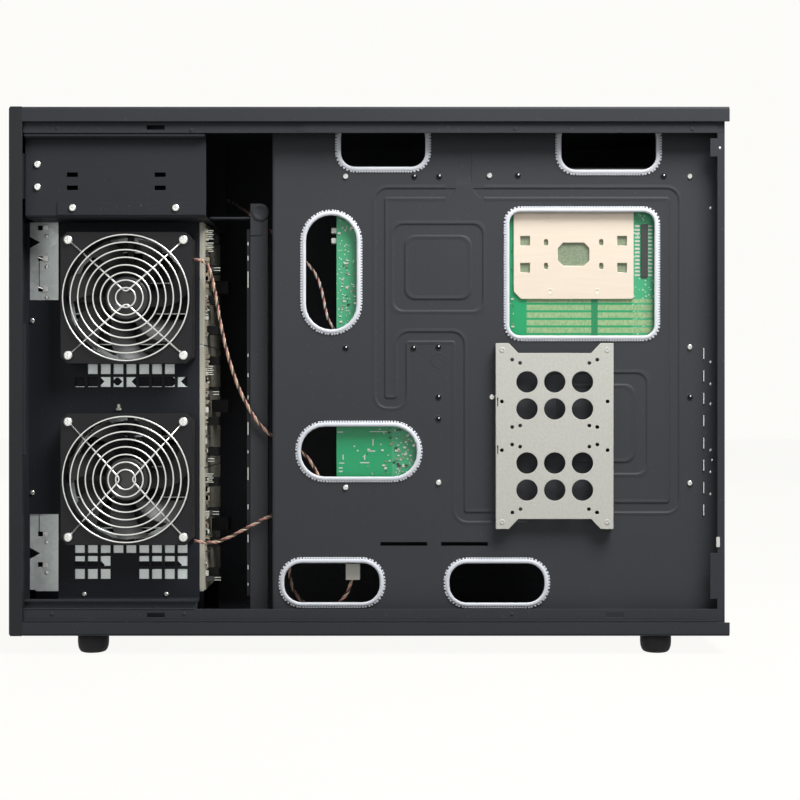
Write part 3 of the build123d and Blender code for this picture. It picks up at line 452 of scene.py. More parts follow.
channel_floor = -82.42
upper_cutouts = [(12.3, 460.0, 77.2, 40.0, 13.0), (217.4, 458.7, 86.8, 42.6, 13.0)]
punch_shape = bmesh.new()
for x, z, width, height, corner in upper_cutouts:
    low = (x - width / 2, -86.0, 456.0)
    block(punch_shape, low, (x + width / 2, -80.0, z + height / 2), 0.01)
punch_half, punch_front = ring_channel / 2 + 0.01, -84.0
punch_section = [(punch_half, punch_front), (-punch_half, punch_front)]
punch_section += [(-punch_half, channel_floor), (punch_half, channel_floor)]
for ring in rings:
    ring_strip(punch_shape, ring, punch_section, closed=True)
bmesh.ops.recalc_face_normals(punch_shape, faces=punch_shape.faces)
punch_mesh = bpy.data.meshes.new("tray_punch")
punch_shape.to_mesh(punch_mesh)
punch_shape.free()
tray_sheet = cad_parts["motherboard_tray"].data.copy()
tray_sheet.materials.clear()
tray_sheet.transform(Matrix.Scale(1000.0, 4))
blank = bpy.data.objects.new("tray_blank", tray_sheet)
punch = bpy.data.objects.new("tray_punch", punch_mesh)
for tool in (blank, punch):
    bpy.context.scene.collection.objects.link(tool)
joined = blank.modifiers.new("joined_faces", "WELD")
joined.merge_threshold = 0.01
cut = blank.modifiers.new("raised_tops", "BOOLEAN")
cut.operation = "DIFFERENCE"
cut.solver = "EXACT"
cut.object = punch
punched = bpy.data.meshes.new_from_object(blank.evaluated_get(bpy.context.evaluated_depsgraph_get()))
for tool in (blank, punch):
    bpy.data.objects.remove(tool)
settle("punched_tray", punched, [tray_coat], "root", "black_steel", "motherboard_tray")


def swept(shape, line, section, closed):
    """A strip along a line in the tray's plane. The section gives (sideways to the left, Y) pairs."""
    rows = []
    for number, here in enumerate(line):
        before = line[number - 1] if closed or number else here
        after = line[(number + 1) % len(line)] if closed or number + 1 < len(line) else here
        way = (after - before).normalized()
        left = Vector((-way.y, way.x))
        spots = [(here + left * aside, y) for aside, y in section]
        rows.append([shape.verts.new((spot.x, y, spot.y)) for spot, y in spots])
    skin(shape, rows + rows[:1] if closed else rows, smooth=True)


def channel_section(half):
    """Half a channel and its mirror: a thin margin on the sheet, an eased edge, a slope and the floor."""
    side = [(half + 3.4, -83.01), (half + 1.0, -83.4), (half + 0.4, -83.36), (half - 0.8, -82.56)]
    side += [(half - 1.2, -82.45), (half - 1.7, -82.43)]
    return side + [(-aside, y) for aside, y in reversed(side)]


channels = bmesh.new()
channel_half, channel_corner = 4.4, 7.0
right_channel = [(164.7, 130.5), (276.8, 130.5), (276.8, 416.5), (104.0, 416.5)]
left_channel = [(68.6, 416.5), (9.5, 416.5), (9.5, 225.6), (29.0, 225.6), (29.0, 286.0)]
left_channel += [(81.8, 286.0), (81.8, 121.9), (142.7, 121.9)]
for line in (right_channel, left_channel):
    swept(channels, rounded(line, channel_corner), channel_section(channel_half), closed=False)
for ring in rings:
    ring_strip(channels, ring, channel_section(ring_channel / 2), closed=False)
bead_x, right_x, left_x = 86.3, 106.0, 66.6
neck_foot, neck_z, neck_radius = 409.6, 423.0, 11.4
neck_slope, slope_from = 1.1, 412.0


def neck_arc(centre_x, start):
    """The quarter turn by which a channel's edge runs into the bead, from a start in degrees."""
    turns = [math.radians(start + 90 * step / 8) for step in range(9)]
    return [(centre_x + neck_radius * math.cos(t), neck_z + neck_radius * math.sin(t)) for t in turns]


neck = neck_arc(right_x, 180) + [(right_x, neck_foot), (left_x, neck_foot)] + neck_arc(left_x, 270)
lower = [channels.verts.new((x, channel_floor, z)) for x, z in neck]
upper = []
for x, z in neck:
    inward = neck_slope if x < bead_x else -neck_slope
    upper.append(channels.verts.new((x + inward * (z > slope_from), tray_face - 0.02, z)))
for k in range(len(neck)):
    channels.faces.new((lower[k - 1], lower[k], upper[k], upper[k - 1]))
channels.faces.new(upper)
bead_margin, bead_rim = 8.4, 0.2
bead_rows = []
for bead_z, half, depth in (
    (422.6, 6.8, 0.0),
    (424.5, 6.8, 0.05),
    (431.0, 6.8, 0.5),
    (443.0, 6.8, 0.5),
    (450.0, 6.8, 0.5),
    (452.4, 6.3, 0.5),
    (454.4, 5.1, 0.45),
    (455.8, 3.4, 0.3),
    (456.8, 0.5, 0.0),
    (458.4, 0.4, 0.0),
):
    ease = min(1, half)
    rim = half + bead_rim
    across = [(-bead_margin, 0), (-rim, 0), (ease - half, 1), (half - ease, 1), (rim, 0), (bead_margin, 0)]
    spots = [(bead_x + u, tray_face - 0.03 + depth * share, bead_z) for u, share in across]
    bead_rows.append([channels.verts.new(spot) for spot in spots])
skin(channels, bead_rows)
step_plate = [(105.9, 133.0), (105.9, 167.0), (111.0, 172.5), (119.0, 172.5), (119.0, 133.0)]
step_middle, step_height, step_slope = 150.0, 0.14, 0.5
step_top = [channels.verts.new((x, tray_face - step_height, z)) for x, z in step_plate]
step_foot = []
for x, z in step_plate:
    lift = step_slope if z > step_middle else -step_slope
    step_foot.append(channels.verts.new((x - step_slope, tray_face, z + lift)))
for k in range(len(step_plate)):
    channels.faces.new((step_foot[k - 1], step_foot[k], step_top[k], step_top[k - 1]))
channels.faces.new(step_top)
for face in channels.faces:
    face.smooth = False
settle("pressed_channels", channels, [tray_coat], "root", "black_steel")

# Cable edging: white serrated nylon strip pushed over the edge of each of the seven cut-outs.
# A smooth bead lies inside the opening, and its teeth grip the face of the sheet.
edging_nylon = finish(
    "edging_nylon",
    {"Specular IOR Level": 0.4},
    mottled((0.74, 0.77, 0.84), (0.86, 0.88, 0.93), 90.0, 0.4, 0.12, 300.0),
)
cutouts = [
    (-34.9, 344.3, 46.6, 104.5, 23.2),
    (-9.8, 181.4, 105.9, 46.1, 22.0),
    (193.0, 343.0, 132.4, 112.9, 10.0),
    *upper_cutouts,
    (-34.2, 62.2, 87.3, 36.4, 16.0),
    (115.7, 61.9, 86.9, 36.4, 16.0),
]


def stations(line, pitch):
    """Evenly spaced places along a closed line, each with the way that it runs there."""
    runs = [(here, after, (after - here).length) for here, after in zip(line, line[1:] + line[:1])]
    total = sum(length for here, after, length in runs)
    count = round(total / pitch)
    places = []
    passed = 0.0
    for here, after, length in runs:
        while len(places) < count and len(places) * total / count < passed + length:
            share = (len(places) * total / count - passed) / length
            places.append((here.lerp(after, share), (after - here).normalized()))
        passed += length
    return places


edging = bmesh.new()
bead_section = [(0.1, -81.2), (0.3, -83.6), (-0.1, -84.3), (-1.1, -84.7), (-2.9, -84.4)]
bead_section += [(-3.5, -83.8), (-3.6, tray_face)]
tooth_section = [(-2.6, -84.0), (-4.3, -84.0), (-4.9, -83.6), (-5.0, tray_face)]
tooth_pitch, tooth_half = 2.45, 0.85
for x, z, width, height, corner in cutouts:
    outline = rounded(box_line(x, z, width, height), corner, closed=True)
    swept(edging, outline, bead_section, closed=True)
    for place, way in stations(outline, tooth_pitch):
        left = Vector((-way.y, way.x))
        ends = []
        for along in (-tooth_half, tooth_half):
            spots = [(place + way * along + left * aside, y) for aside, y in tooth_section]
            ends.append([edging.verts.new((spot.x, y, spot.y)) for spot, y in spots])
        skin(edging, ends)
        edging.faces.new(ends[0])
        edging.faces.new(ends[1])
settle("serrated_edging", edging, [edging_nylon], "root", "white_edging", "cable_edging")


# Mainboard: green glass-fibre board on brass standoffs, its solder side towards the open side.
# It shows through the cut-outs, with solder rows under the memory slots, small parts and white print.
def across_and_up(sheet):
    """Where a point lies across the case and how high, in metres."""
    place = own_place(sheet)
    return [sheet.node("ShaderNodeSeparateXYZ", {}, {0: place}, way) for way in ("X", "Z")]


def circuit(sheet):
    """Green lacquer over copper tracks, solder rows and socket pins. Painted shade darkens the top edge."""
    place = own_place(sheet)
    x, z = across_and_up(sheet)
    tilt = (0, math.radians(45), 0)
    tilted = sheet.node("ShaderNodeMapping", {}, {"Vector": place, "Rotation": tilt})
    slant = {"Vector": tilted, "Scale": 190.0, "Distortion": 1.5}
    slanted = sheet.node("ShaderNodeTexWave", {"bands_direction": "Z"}, slant, 1)
    upright = {"Vector": place, "Scale": 240.0, "Distortion": 0.8}
    straight = sheet.node("ShaderNodeTexWave", {"bands_direction": "X"}, upright, 1)
    patches = noise(sheet, 45.0, 2.0) > 0.5
    lines = patches * slanted + (1 - patches) * straight > 0.62
    vias = sheet.node("ShaderNodeTexVoronoi", {}, {"Vector": place, "Scale": 300.0}) < 0.22
    crowded = (x < -0.010) * (z > 0.25) + (x > 0.020) * (z < 0.25) + (x > 0.24) > 0.5
    copper = tint(sheet, lines * 0.5, (0.006, 0.31, 0.110, 1), (0.022, 0.48, 0.21, 1))
    pale = tint(sheet, crowded * 0.4, copper, (0.13, 0.50, 0.29, 1))
    dotted = tint(sheet, vias * (noise(sheet, 90.0) > 0.47) * crowded, pale, (0.55, 0.70, 0.55, 1))
    rows = (x > 0.1435) * (x < 0.2585) * (z < 0.3205) * (z > 0.284)
    band = (sheet.math("FRACT", z * 145.0) < 0.72) * rows
    beads = noise(sheet, 700.0, 1.0, (1, 1, 0.5))
    solder = tint(sheet, beads, (0.06, 0.34, 0.15, 1), (0.56, 0.62, 0.33, 1))
    striped = tint(sheet, band, dotted, solder)
    divider = rows * (x > 0.2025) * (x < 0.2085)
    divided = tint(sheet, divider, striped, (0.012, 0.24, 0.09, 1))
    pins = tint(sheet, noise(sheet, 900.0, 1.0), (0.07, 0.15, 0.08, 1), (0.42, 0.46, 0.32, 1))
    socket = (x > 0.137) * (x < 0.2355) * (z > 0.344) * (z < 0.379)
    pinned = tint(sheet, socket, divided, pins)
    return {
        # Painted shade: the board turns near black above its top edge line.
        "Base Color": tint(sheet, z > 0.4362, pinned, (0.004, 0.006, 0.005, 1)),
        "Roughness": 0.32 + 0.12 * noise(sheet, 120.0),
        "Normal": bumped(sheet, lines, 0.2, 0.0001),
    }


green_board = finish("green_board", {"Coat Weight": 0.2, "Coat Roughness": 0.2}, circuit)
dress(green_board, "mainboard")
solder_tin = finish(
    "solder_tin",
    {"Metallic": 0.6},
    mottled((0.45, 0.47, 0.40), (0.72, 0.74, 0.66), 300.0, 0.3, 0.2, 500.0),
)
part_dark = finish("part_dark", {}, moulded((0.018, 0.022, 0.020), (0.05, 0.05, 0.048), 0.5))
part_tan = finish("part_tan", {}, moulded((0.27, 0.20, 0.12), (0.50, 0.45, 0.35), 0.5))
white_print = finish("white_print", {}, moulded((0.62, 0.66, 0.60), (0.74, 0.77, 0.71), 0.6))
part_finishes = [solder_tin, part_dark, part_tan, white_print]
in_tin, in_dark, in_tan, in_white = range(4)
small_parts = bmesh.new()
board_face, print_front = -75.3, -75.42
part_sizes = ((1.6, 0.8, 0.5), (2.0, 1.2, 0.7), (2.6, 1.6, 0.8), (0.8, 1.6, 0.5))
dice = random.Random(11)
for low_x, high_x, low_z, high_z, count in (
    (-28.0, -13.0, 296.0, 394.0, 60),
    (-6.0, 40.0, 160.5, 202.5, 34),
    (22.0, 42.0, 160.5, 202.5, 44),
    (128.5, 131.5, 290.0, 398.0, 10),
):
    for number in range(count):
        part_x = low_x + (high_x - low_x) * dice.random()
        part_z = low_z + (high_z - low_z) * dice.random()
        long, wide, tall = dice.choice(part_sizes)
        low = (part_x - long / 2, board_face - tall, part_z - wide / 2)
        high = (part_x + long / 2, board_face, part_z + wide / 2)
        coat = dice.choice((in_tin, in_tin, in_dark, in_tan, in_white))
        block(small_parts, low, high, 0.15, coat)
for bar_x, bar_z, long, wide in (
    (-26.5, 163.0, 3.4, 1.0),
    (-26.5, 166.2, 3.4, 1.0),
    (-25.6, 170.6, 4.6, 0.9),
    (-24.4, 176.0, 0.9, 4.6),
    (-27.0, 199.0, 5.0, 1.2),
    (-4.6, 171.0, 8.4, 1.0),
    (-4.6, 176.0, 1.0, 5.0),
    (1.6, 181.6, 7.0, 1.0),
    (3.0, 189.5, 1.0, 6.0),
    (8.0, 199.4, 16.0, 0.9),
    (14.4, 166.0, 2.2, 2.2),
    (-14.0, 186.0, 1.4, 1.4),
    (-11.0, 182.0, 1.4, 1.4),
):
    low = (bar_x - long / 2, print_front, bar_z - wide / 2)
    block(small_parts, low, (bar_x + long / 2, board_face, bar_z + wide / 2), 0.04, in_white)
block(small_parts, (247.8, -76.7, 340.4), (254.2, board_face, 389.0), 0.3, in_dark)
first_pin, pin_pitch, pin_front = 342.4, 3.45, -75.7
for row in range(14):
    pin_z = first_pin + pin_pitch * row
    block(small_parts, (242.4, pin_front, pin_z - 0.9), (246.8, board_face, pin_z + 0.9), 0.12, in_tin)
    block(small_parts, (254.6, pin_front, pin_z - 0.8), (258.4, board_face, pin_z + 0.8), 0.12, in_white)
for plug_z in (383.4, 374.2):
    block(small_parts, (-35.2, -73.7, plug_z - 2.5), (-27.4, -66.4, plug_z + 2.5), 0.4, in_white)
settle("board_parts", small_parts, part_finishes, "root", "green_board")

# Socket back plate: champagne coloured steel screwed behind the processor socket.
# A stamped plate with a middle window, four square openings, four slots and four flush studs.
champagne_steel = finish(
    "champagne_steel",
    {"Metallic": 0.3},
    lambda sheet: {
        "Base Color": tint(
            sheet, noise(sheet, 25.0, 4.0, (1, 1, 14)), (0.79, 0.68, 0.56, 1), (0.88, 0.77, 0.64, 1)
        ),
        "Roughness": 0.38 + 0.14 * noise(sheet, 260.0, 3.0, (1, 1, 20)),
    },
)


def cut_plate(name, outline, holes, thickness, edge, front_y):
    """An upright plate with holes and softened edges, its front face at front_y."""
    plan = bpy.data.curves.new(name, "CURVE")
    plan.dimensions = "2D"
    plan.fill_mode = "BOTH"
    plan.offset = -edge
    plan.extrude = thickness / 2 - edge
    plan.bevel_depth = edge
    plan.bevel_resolution = 1
    for loop in (outline, *holes):
        spline = plan.splines.new("POLY")
        spline.points.add(len(loop) - 1)
        for point, (x, z) in zip(spline.points, loop):
            point.co = (x, z, 0, 1)
        spline.use_cyclic_u = True
    holder = bpy.data.objects.new(name, plan)
    mesh = bpy.data.meshes.new_from_object(holder)
    bpy.data.objects.remove(holder)
    bpy.data.curves.remove(plan)
    mesh.transform(Matrix.Translation((0, front_y + thickness / 2, 0)) @ Matrix.Rotation(math.pi / 2, 4, "X"))
    return mesh


def ring_of(x, z, radius, sides):
    """The corners of a regular polygon, for a round hole."""
    turns = [2 * math.pi * k / sides for k in range(sides)]
    return [(x + radius * math.cos(turn), z + radius * math.sin(turn)) for turn in turns]


plate_x, plate_z, plate_front = 186.2, 361.4, -77.5
plate_half_x, plate_half_z, plate_chamfer = 54.85, 40.85, 6.85
plate_left, plate_right = plate_x - plate_half_x, plate_x + plate_half_x
plate_foot, plate_top = plate_z - plate_half_z, plate_z + plate_half_z
plate_corners = [
    (plate_left + plate_chamfer, plate_foot),
    (plate_right, plate_foot),
    (plate_right, plate_top),
    (plate_left, plate_top),
    (plate_left, plate_foot + plate_chamfer),
]
four_ways = [(u, v) for u in (-1, 1) for v in (-1, 1)]
plate_holes = [box_line(plate_x + u * 44.3, plate_z + v * 12.3, 8.8, 8.8) for u, v in four_ways]
for u, v in four_ways:
    plate_slot = box_line(plate_x + u * 25.2, plate_z + v * 10.8, 3.6, 5.8)
    plate_holes.append(rounded(plate_slot, 1.5, closed=True))
window = ((-9.5, -10.6), (9.5, -10.6), (14.3, -5.6), (14.3, 5.6))
window += tuple((-u, -v) for u, v in window)
plate_holes.append([(plate_x + u, plate_z + v) for u, v in window])
socket_plate = bmesh.new()
plate_outline = rounded(plate_corners, 2.4, closed=True)
socket_plate.from_mesh(cut_plate("plate", plate_outline, plate_holes, 2.2, 0.3, plate_front))
stud_rings = ((2.7, 0.0), (2.6, 0.12), (2.1, 0.12), (2.0, 0.04), (0.6, 0.06))
for u, v in four_ways:
    stud_place = (plate_x + u * 21.5, plate_front, plate_z + v * 33.9)
    turned(socket_plate, stud_rings, stud_place, 28, to_open_side)
settle("socket_plate", socket_plate, [champagne_steel], "root", "champagne_steel", "cpu_back_plate")

# Board standoffs and the screws of the tray: nickel plated brass pillars and pan heads.
# Eight places hold a bright screw; the others show the end of a pillar, its hole filled in with painted shade
# and a painted glint.
nickel = finish(
    "nickel",
    {"Metallic": 1.0},
    mottled((0.60, 0.60, 0.59), (0.80, 0.80, 0.78), 180.0, 0.24, 0.16, 400.0),
)
dress(nickel, "board_standoffs")


def screw_head(shape, x, y, z, radius, height, index=0):
    """A pan head with a cross recess, facing the open side."""
    sides = 40
    rows = []
    for reach, rise in ((1.0, 0.0), (1.0, 0.35), (0.9, 0.75), (0.66, 1.0), (None, 1.0), (None, 0.35)):
        row = []
        for k in range(sides):
            turn = 2 * math.pi * k / sides
            c, s = math.cos(turn), math.sin(turn)
            if reach is None:
                arm = min(0.5 / max(abs(c), abs(s)), 0.12 / max(min(abs(c), abs(s)), 0.01))
                spread = radius * arm * (0.8 if rise < 1 else 1.0)
            else:
                spread = radius * reach
            row.append(shape.verts.new((x + spread * c, y - height * rise, z + spread * s)))
        rows.append(row)
    skin(shape, rows, ring=True, index=index)
    shape.faces.new(rows[-1]).material_index = index


tray_heads = bmesh.new()
bright_places = [(-21.8, 431.6), (109.0, 432.4), (291.3, 431.6), (291.3, 276.5)]
bright_places += [(291.3, 152.8), (62.8, 153.3), (-21.7, 148.8), (111.4, 231.0)]
dark_places = [(40.6, 431.4), (63.3, 431.5), (134.9, 432.4), (267.3, 431.9), (-21.8, 275.6)]
dark_places += [(40.0, 275.6), (62.6, 276.5), (62.6, 231.0), (62.6, 211.2), (291.3, 231.0)]
for place_x, place_z in bright_places:
    screw_head(tray_heads, place_x, tray_face, place_z, 2.5, 1.8)
in_coat, in_hole_shade = 1, 2
pillar_height = 0.6
pillar_rim = ((3.1, 0.0), (2.9, 0.5), (2.4, pillar_height))
pillar_end = ((2.4, 0.62), (2.2, 0.63))
for place_x, place_z in dark_places:
    turned(tray_heads, pillar_rim, (place_x, tray_face, place_z), 24, to_open_side, in_coat)
    turned(tray_heads, pillar_end, (place_x, tray_face, place_z), 24, to_open_side, in_hole_shade)
    # A small nickel dome off the middle of each pillar's end is a painted glint.
    rivet(tray_heads, place_x + 0.5, tray_face - pillar_height, place_z + 0.8, 0.8, 0.3)
pressed_ring = ((7.0, 0.0), (6.8, 0.2), (6.3, 0.2), (6.1, 0.02))
turned(tray_heads, pressed_ring, (63.1, tray_face, 264.2), 40, to_open_side, in_coat)
# Near black painted shade stands for the hole in each pillar's end.
hole_shade_look = moulded((0.002, 0.002, 0.003), (0.005, 0.005, 0.006), 0.6)
painted_hole_shade = finish("painted_hole_shade", {"Specular IOR Level": 0.1}, hole_shade_look)
settle("tray_screw_heads", tray_heads, [nickel, tray_coat, painted_hole_shade], "root", "nickel", "tray_screws")

# Drive bracket: light grey painted steel plate for two small drives, folded to stand off the tray.
# Twelve round openings, small screw holes for each drive, and a flush rivet in each corner.
grey_steel = finish(
    "grey_steel",
    {"Specular IOR Level": 0.4},
    lambda sheet: {
        "Base Color": tint(sheet, noise(sheet, 520.0, 3.0), (0.53, 0.53, 0.48, 1), (0.70, 0.70, 0.64, 1)),
        "Roughness": 0.42 + 0.12 * noise(sheet, 300.0),
        "Normal": bumped(sheet, noise(sheet, 800.0), 0.15, 0.0001),
    },
)
bracket_x, bracket_z, bracket_front = 167.2, 195.8, -94.0
half_outline = ((-53.0, 83.85), (-41.5, 83.85), (-32.9, 74.85), (32.9, 74.85), (41.5, 83.85), (53.0, 83.85))
bracket_outline = []
for side in (-1, 1):
    bracket_outline += [(bracket_x - side * u, bracket_z + side * v) for u, v in half_outline]
bracket_holes = [
    ring_of(bracket_x + u * 25.0, bracket_z + group * 36.6 + v * 12.2, 9.65, 40)
    for group in (-1, 1)
    for u in (-1, 0, 1)
    for v in (-1, 1)
]
screw_holes = [(38.4, 264.6), (31.2, 261.6), (47.7, 226.9), (38.4, 203.8), (31.2, 205.1)]
screw_holes += [(38.4, 188.0), (31.2, 186.1), (47.7, 183.0), (30.8, 129.8), (38.2, 126.8)]
for u, z in screw_holes:
    bracket_holes += [ring_of(bracket_x + side * u, z, 1.7, 16) for side in (-1, 1)]
bracket_holes += [box_line(bracket_x - 51.5, slit_z, 1.0, 8.0) for slit_z in (226.4, 183.4)]
bracket = bmesh.new()
bracket.from_mesh(cut_plate("bracket_face", bracket_outline, bracket_holes, 1.2, 0.25, bracket_front))
for side in (-1, 1):
    wall_x = bracket_x + side * 52.4
    block(bracket, (wall_x - 0.6, -93.3, bracket_z - 83.6), (wall_x + 0.6, tray_face, bracket_z + 83.6), 0.2)
flush_rings = ((2.6, 0.0), (2.4, 0.25), (1.2, 0.3), (0.9, 0.12), (0.3, 0.12))
for u, v in four_ways:
    flush_place = (bracket_x + u * 47.3, bracket_front, bracket_z + v * 77.6)
    turned(bracket, flush_rings, flush_place, 24, to_open_side)
settle("bracket_plate", bracket, [grey_steel], "root", "grey_steel", "drive_bracket")


# Expansion slot covers: eight galvanised blanks whose tongues stand in the tray.
# Galvanised steel shows its zinc flakes.
def zinc(sheet):
    """Zinc flakes in two close greys."""
    place = own_place(sheet)
    flakes = sheet.node("ShaderNodeTexVoronoi", {}, {"Vector": place, "Scale": 330.0}, 1)
    grey = sheet.node("ShaderNodeSeparateColor", {}, {"Color": flakes})
    blend = 0.35 * grey + 0.65 * noise(sheet, 60.0)
    return {
        "Base Color": tint(sheet, blend, (0.60, 0.66, 0.66, 1), (0.86, 0.90, 0.89, 1)),
        "Roughness": 0.36 + 0.16 * grey,
    }


galvanised = finish("galvanised", {"Metallic": 0.45}, zinc)
dress(galvanised, "slot_covers")

# Box of the 5.25 inch bay: black steel, hung from the roof by a rolled flange.
# A clamp strip runs along its foot, and four bright screws hold it.
bay_steel = finish(
    "bay_steel",
    {"Specular IOR Level": 0.08},
    powder_coat((0.031, 0.033, 0.038), (0.042, 0.044, 0.051), 0.5),
)
dress(bay_steel, "bay_box", edge=0.25)
bay_trim = bmesh.new()
block(bay_trim, (-310.3, -100.6, 464.2), (-147.6, -93.0, 467.6), 0.9)
bay_screws = ((-299.6, -93.0, 440.9), (-299.6, -93.0, 420.5), (-267.5, -94.0, 401.6), (-174.5, -94.0, 401.6))
for place_x, place_y, place_z in bay_screws:
    screw_head(bay_trim, place_x, place_y, place_z, 3.3, 2.0, index=1)
settle("bay_trim", bay_trim, [bay_steel, nickel], "root", "black_steel")


# Drive cage: two galvanised walls with a ledge for each tray, and the twelve trays in it.
# The wall behind the fans has pointed slots, painted on it as near black shade, and small tongues are bent
# out beside its windows.
# A black strip at the front edge of the wall stands in for the shade between the wall and the bezel.
def zinc_with_painted_shade(sheet):
    """Zinc with painted shade in the slots, notches and fold lines, and a painted shadow on the wall's foot
    behind the lip.
    """
    look = zinc(sheet)
    x, z = across_and_up(sheet)
    dark = 0.0
    # Painted shade, near black, where the slots, notches and fold lines are.
    for slot_x, slot_z, half_length, half_height in (
        (-0.2672, 0.2455, 0.0207, 0.0046),
        (-0.2345, 0.2455, 0.0047, 0.0036),
        (-0.2002, 0.2455, 0.0213, 0.0046),
        (-0.1650, 0.2455, 0.0106, 0.0046),
        (-0.2670, 0.0752, 0.0209, 0.0035),
        (-0.1988, 0.0752, 0.0242, 0.0035),
    ):
        aside = abs(x - slot_x)
        rise = abs(z - slot_z)
        dark = dark + (aside + rise < half_length) * (rise < half_height)
    for notch_z in (0.3745, 0.0861):
        rise = abs(z - notch_z)
        dark = dark + (0.55 * (-0.3062 - x) - rise > 0.0)
    for line_x, line_z, half_length in ((-0.3071, 0.3457, 0.0138), (-0.3071, 0.1132, 0.0088)):
        rise = abs(z - line_z)
        dark = dark + (abs(x - line_x) < 0.0004) * (rise < half_length)
    # Painted shadow on the wall's foot behind the lip.
    dark = dark + (z < 0.051)
    look["Base Color"] = tint(sheet, dark > 0.5, look["Base Color"], (0.006, 0.006, 0.008, 1))
    return look


cage_zinc = finish("zinc_with_painted_shade", {"Metallic": 0.45, "Specular IOR Level": 0.1}, zinc_with_painted_shade)
dress(cage_zinc, "cage_right_wall", "cage_left_wall")
dress(black_plastic, *[f"drive_tray_{number:02d}" for number in range(1, 13)], edge=0.4)
bent_tongues = bmesh.new()
cage_face, tongue_x = -56.0, -303.4
for tongue_z in (388.0, 359.6, 331.2, 104.0, 75.6):
    low_z, high_z = tongue_z - 2.4, tongue_z + 2.4
    block(bent_tongues, (tongue_x, -57.6, low_z), (-302.6, cage_face, high_z), 0.2)
    block(bent_tongues, (tongue_x, -57.8, low_z), (-298.6, -57.2, high_z), 0.2)
    rivet(bent_tongues, -300.4, cage_face, tongue_z - 7.6, 1.9, 0.6)
# A dark strip, put where there is only shade, by the front edge of the wall.
block(bent_tongues, (-320.4, -57.0, 43.5), (-315.6, -56.05, 392.8), 0.2, index=1)
settle("bent_tongues", bent_tongues, [bright_rivet, bay_steel], "root", "galvanised_steel")


# Backplanes: three cream boards across the rear of the cage, seen edge on.
# Cream strips cover their edges, and sockets, small parts and pins stand on them towards the rear.
def backplane_look(sheet):
    """Cream board, with the black sockets on its rear face."""
    x, z = across_and_up(sheet)
    grain = noise(sheet, 160.0, 4.0)
    board = tint(sheet, grain, (0.42, 0.40, 0.32, 1), (0.64, 0.61, 0.51, 1))
    socket = tint(sheet, grain, (0.004, 0.004, 0.005, 1), (0.016, 0.016, 0.015, 1))
    return {"Base Color": tint(sheet, x > -0.1528, board, socket), "Roughness": 0.42 + 0.12 * grain}


dress(finish("backplane_board", {"Specular IOR Level": 0.1}, backplane_look), "backplanes")
cream_strip = finish("cream_strip", {}, moulded((0.46, 0.44, 0.36), (0.64, 0.62, 0.53), 0.5))
backplane_finishes = [solder_tin, part_dark, part_tan, cream_strip]
in_cream = 3
backplane_parts = bmesh.new()
rear_face = -152.9
for low_z, high_z in ((280.0, 392.6), (166.9, 278.0), (52.4, 165.0)):
    block(backplane_parts, (-158.2, -57.2, low_z), (-154.6, cage_face, high_z), 0.3, in_cream)
    for number in range(34):
        part_z = low_z + 3.0 + (high_z - low_z - 6.0) * dice.random()
        reach = dice.choice((1.4, 2.2, 2.8, 3.6))
        tall = dice.choice((1.4, 2.2, 3.6, 5.0))
        deep = dice.choice((2.0, 3.0))
        low = (rear_face, -55.8, part_z - tall / 2)
        high = (rear_face + reach, -55.8 + deep, part_z + tall / 2)
        coat = dice.choice((in_tin, in_dark, in_tan, in_tan, in_cream))
        block(backplane_parts, low, high, 0.2, coat)
for pin_z, reach in ((349.9, 13.5), (234.8, 12.5), (172.6, 8.0), (123.4, 12.5), (62.2, 14.0)):
    high = (rear_face + reach - 6.0, -51.0, pin_z + 2.2)
    block(backplane_parts, (rear_face, -55.0, pin_z - 2.2), high, 0.3, in_dark)
    for lift in (-1.2, 1.2):
        low = (rear_face, -54.0, pin_z + lift - 0.35)
        block(backplane_parts, low, (rear_face + reach, -53.2, pin_z + lift + 0.35), 0.1, in_tin)
for cluster_z in (378.0, 366.5, 252.0, 152.0):
    for number in range(5):
        pin_z = cluster_z + 1.9 * number
        high = (-145.6 - number % 2, -53.8, pin_z + 0.4)
        block(backplane_parts, (rear_face, -54.6, pin_z - 0.4), high, 0.1, in_tin)
settle("backplane_parts", backplane_parts, backplane_finishes, "root", "green_board")

# Fan plate: black steel on the cage wall, with the two fan holes and the square vents.
# Its foot stands on the floor; small screws hold it, and a white clip carries a lead.
plate_coat = finish(
    "plate_coat",
    {"Specular IOR Level": 0.08},
    powder_coat((0.021, 0.0225, 0.027), (0.029, 0.031, 0.037), 0.5),
)
dress(plate_coat, "fan_plate")
white_nylon = finish("white_nylon", {}, moulded((0.62, 0.60, 0.53), (0.76, 0.74, 0.67), 0.42))
plate_fixings = bmesh.new()
plate_face = -57.2
for place_x, place_z, radius in (
    (-264.9, 48.3, 2.2),
    (-188.8, 48.3, 2.2),
    (-313.2, 301.9, 2.4),
    (-313.2, 142.5, 2.4),
):
    screw_head(plate_fixings, place_x, plate_face, place_z, radius, 1.5)
block(plate_fixings, (-235.0, -60.0, 218.6), (-230.6, plate_face, 221.0), 0.4, index=1)
block(plate_fixings, (-233.6, -61.4, 220.6), (-231.6, plate_face, 224.4), 0.4, index=1)
settle("plate_fixings", plate_fixings, [nickel, white_nylon], "root", "nickel")

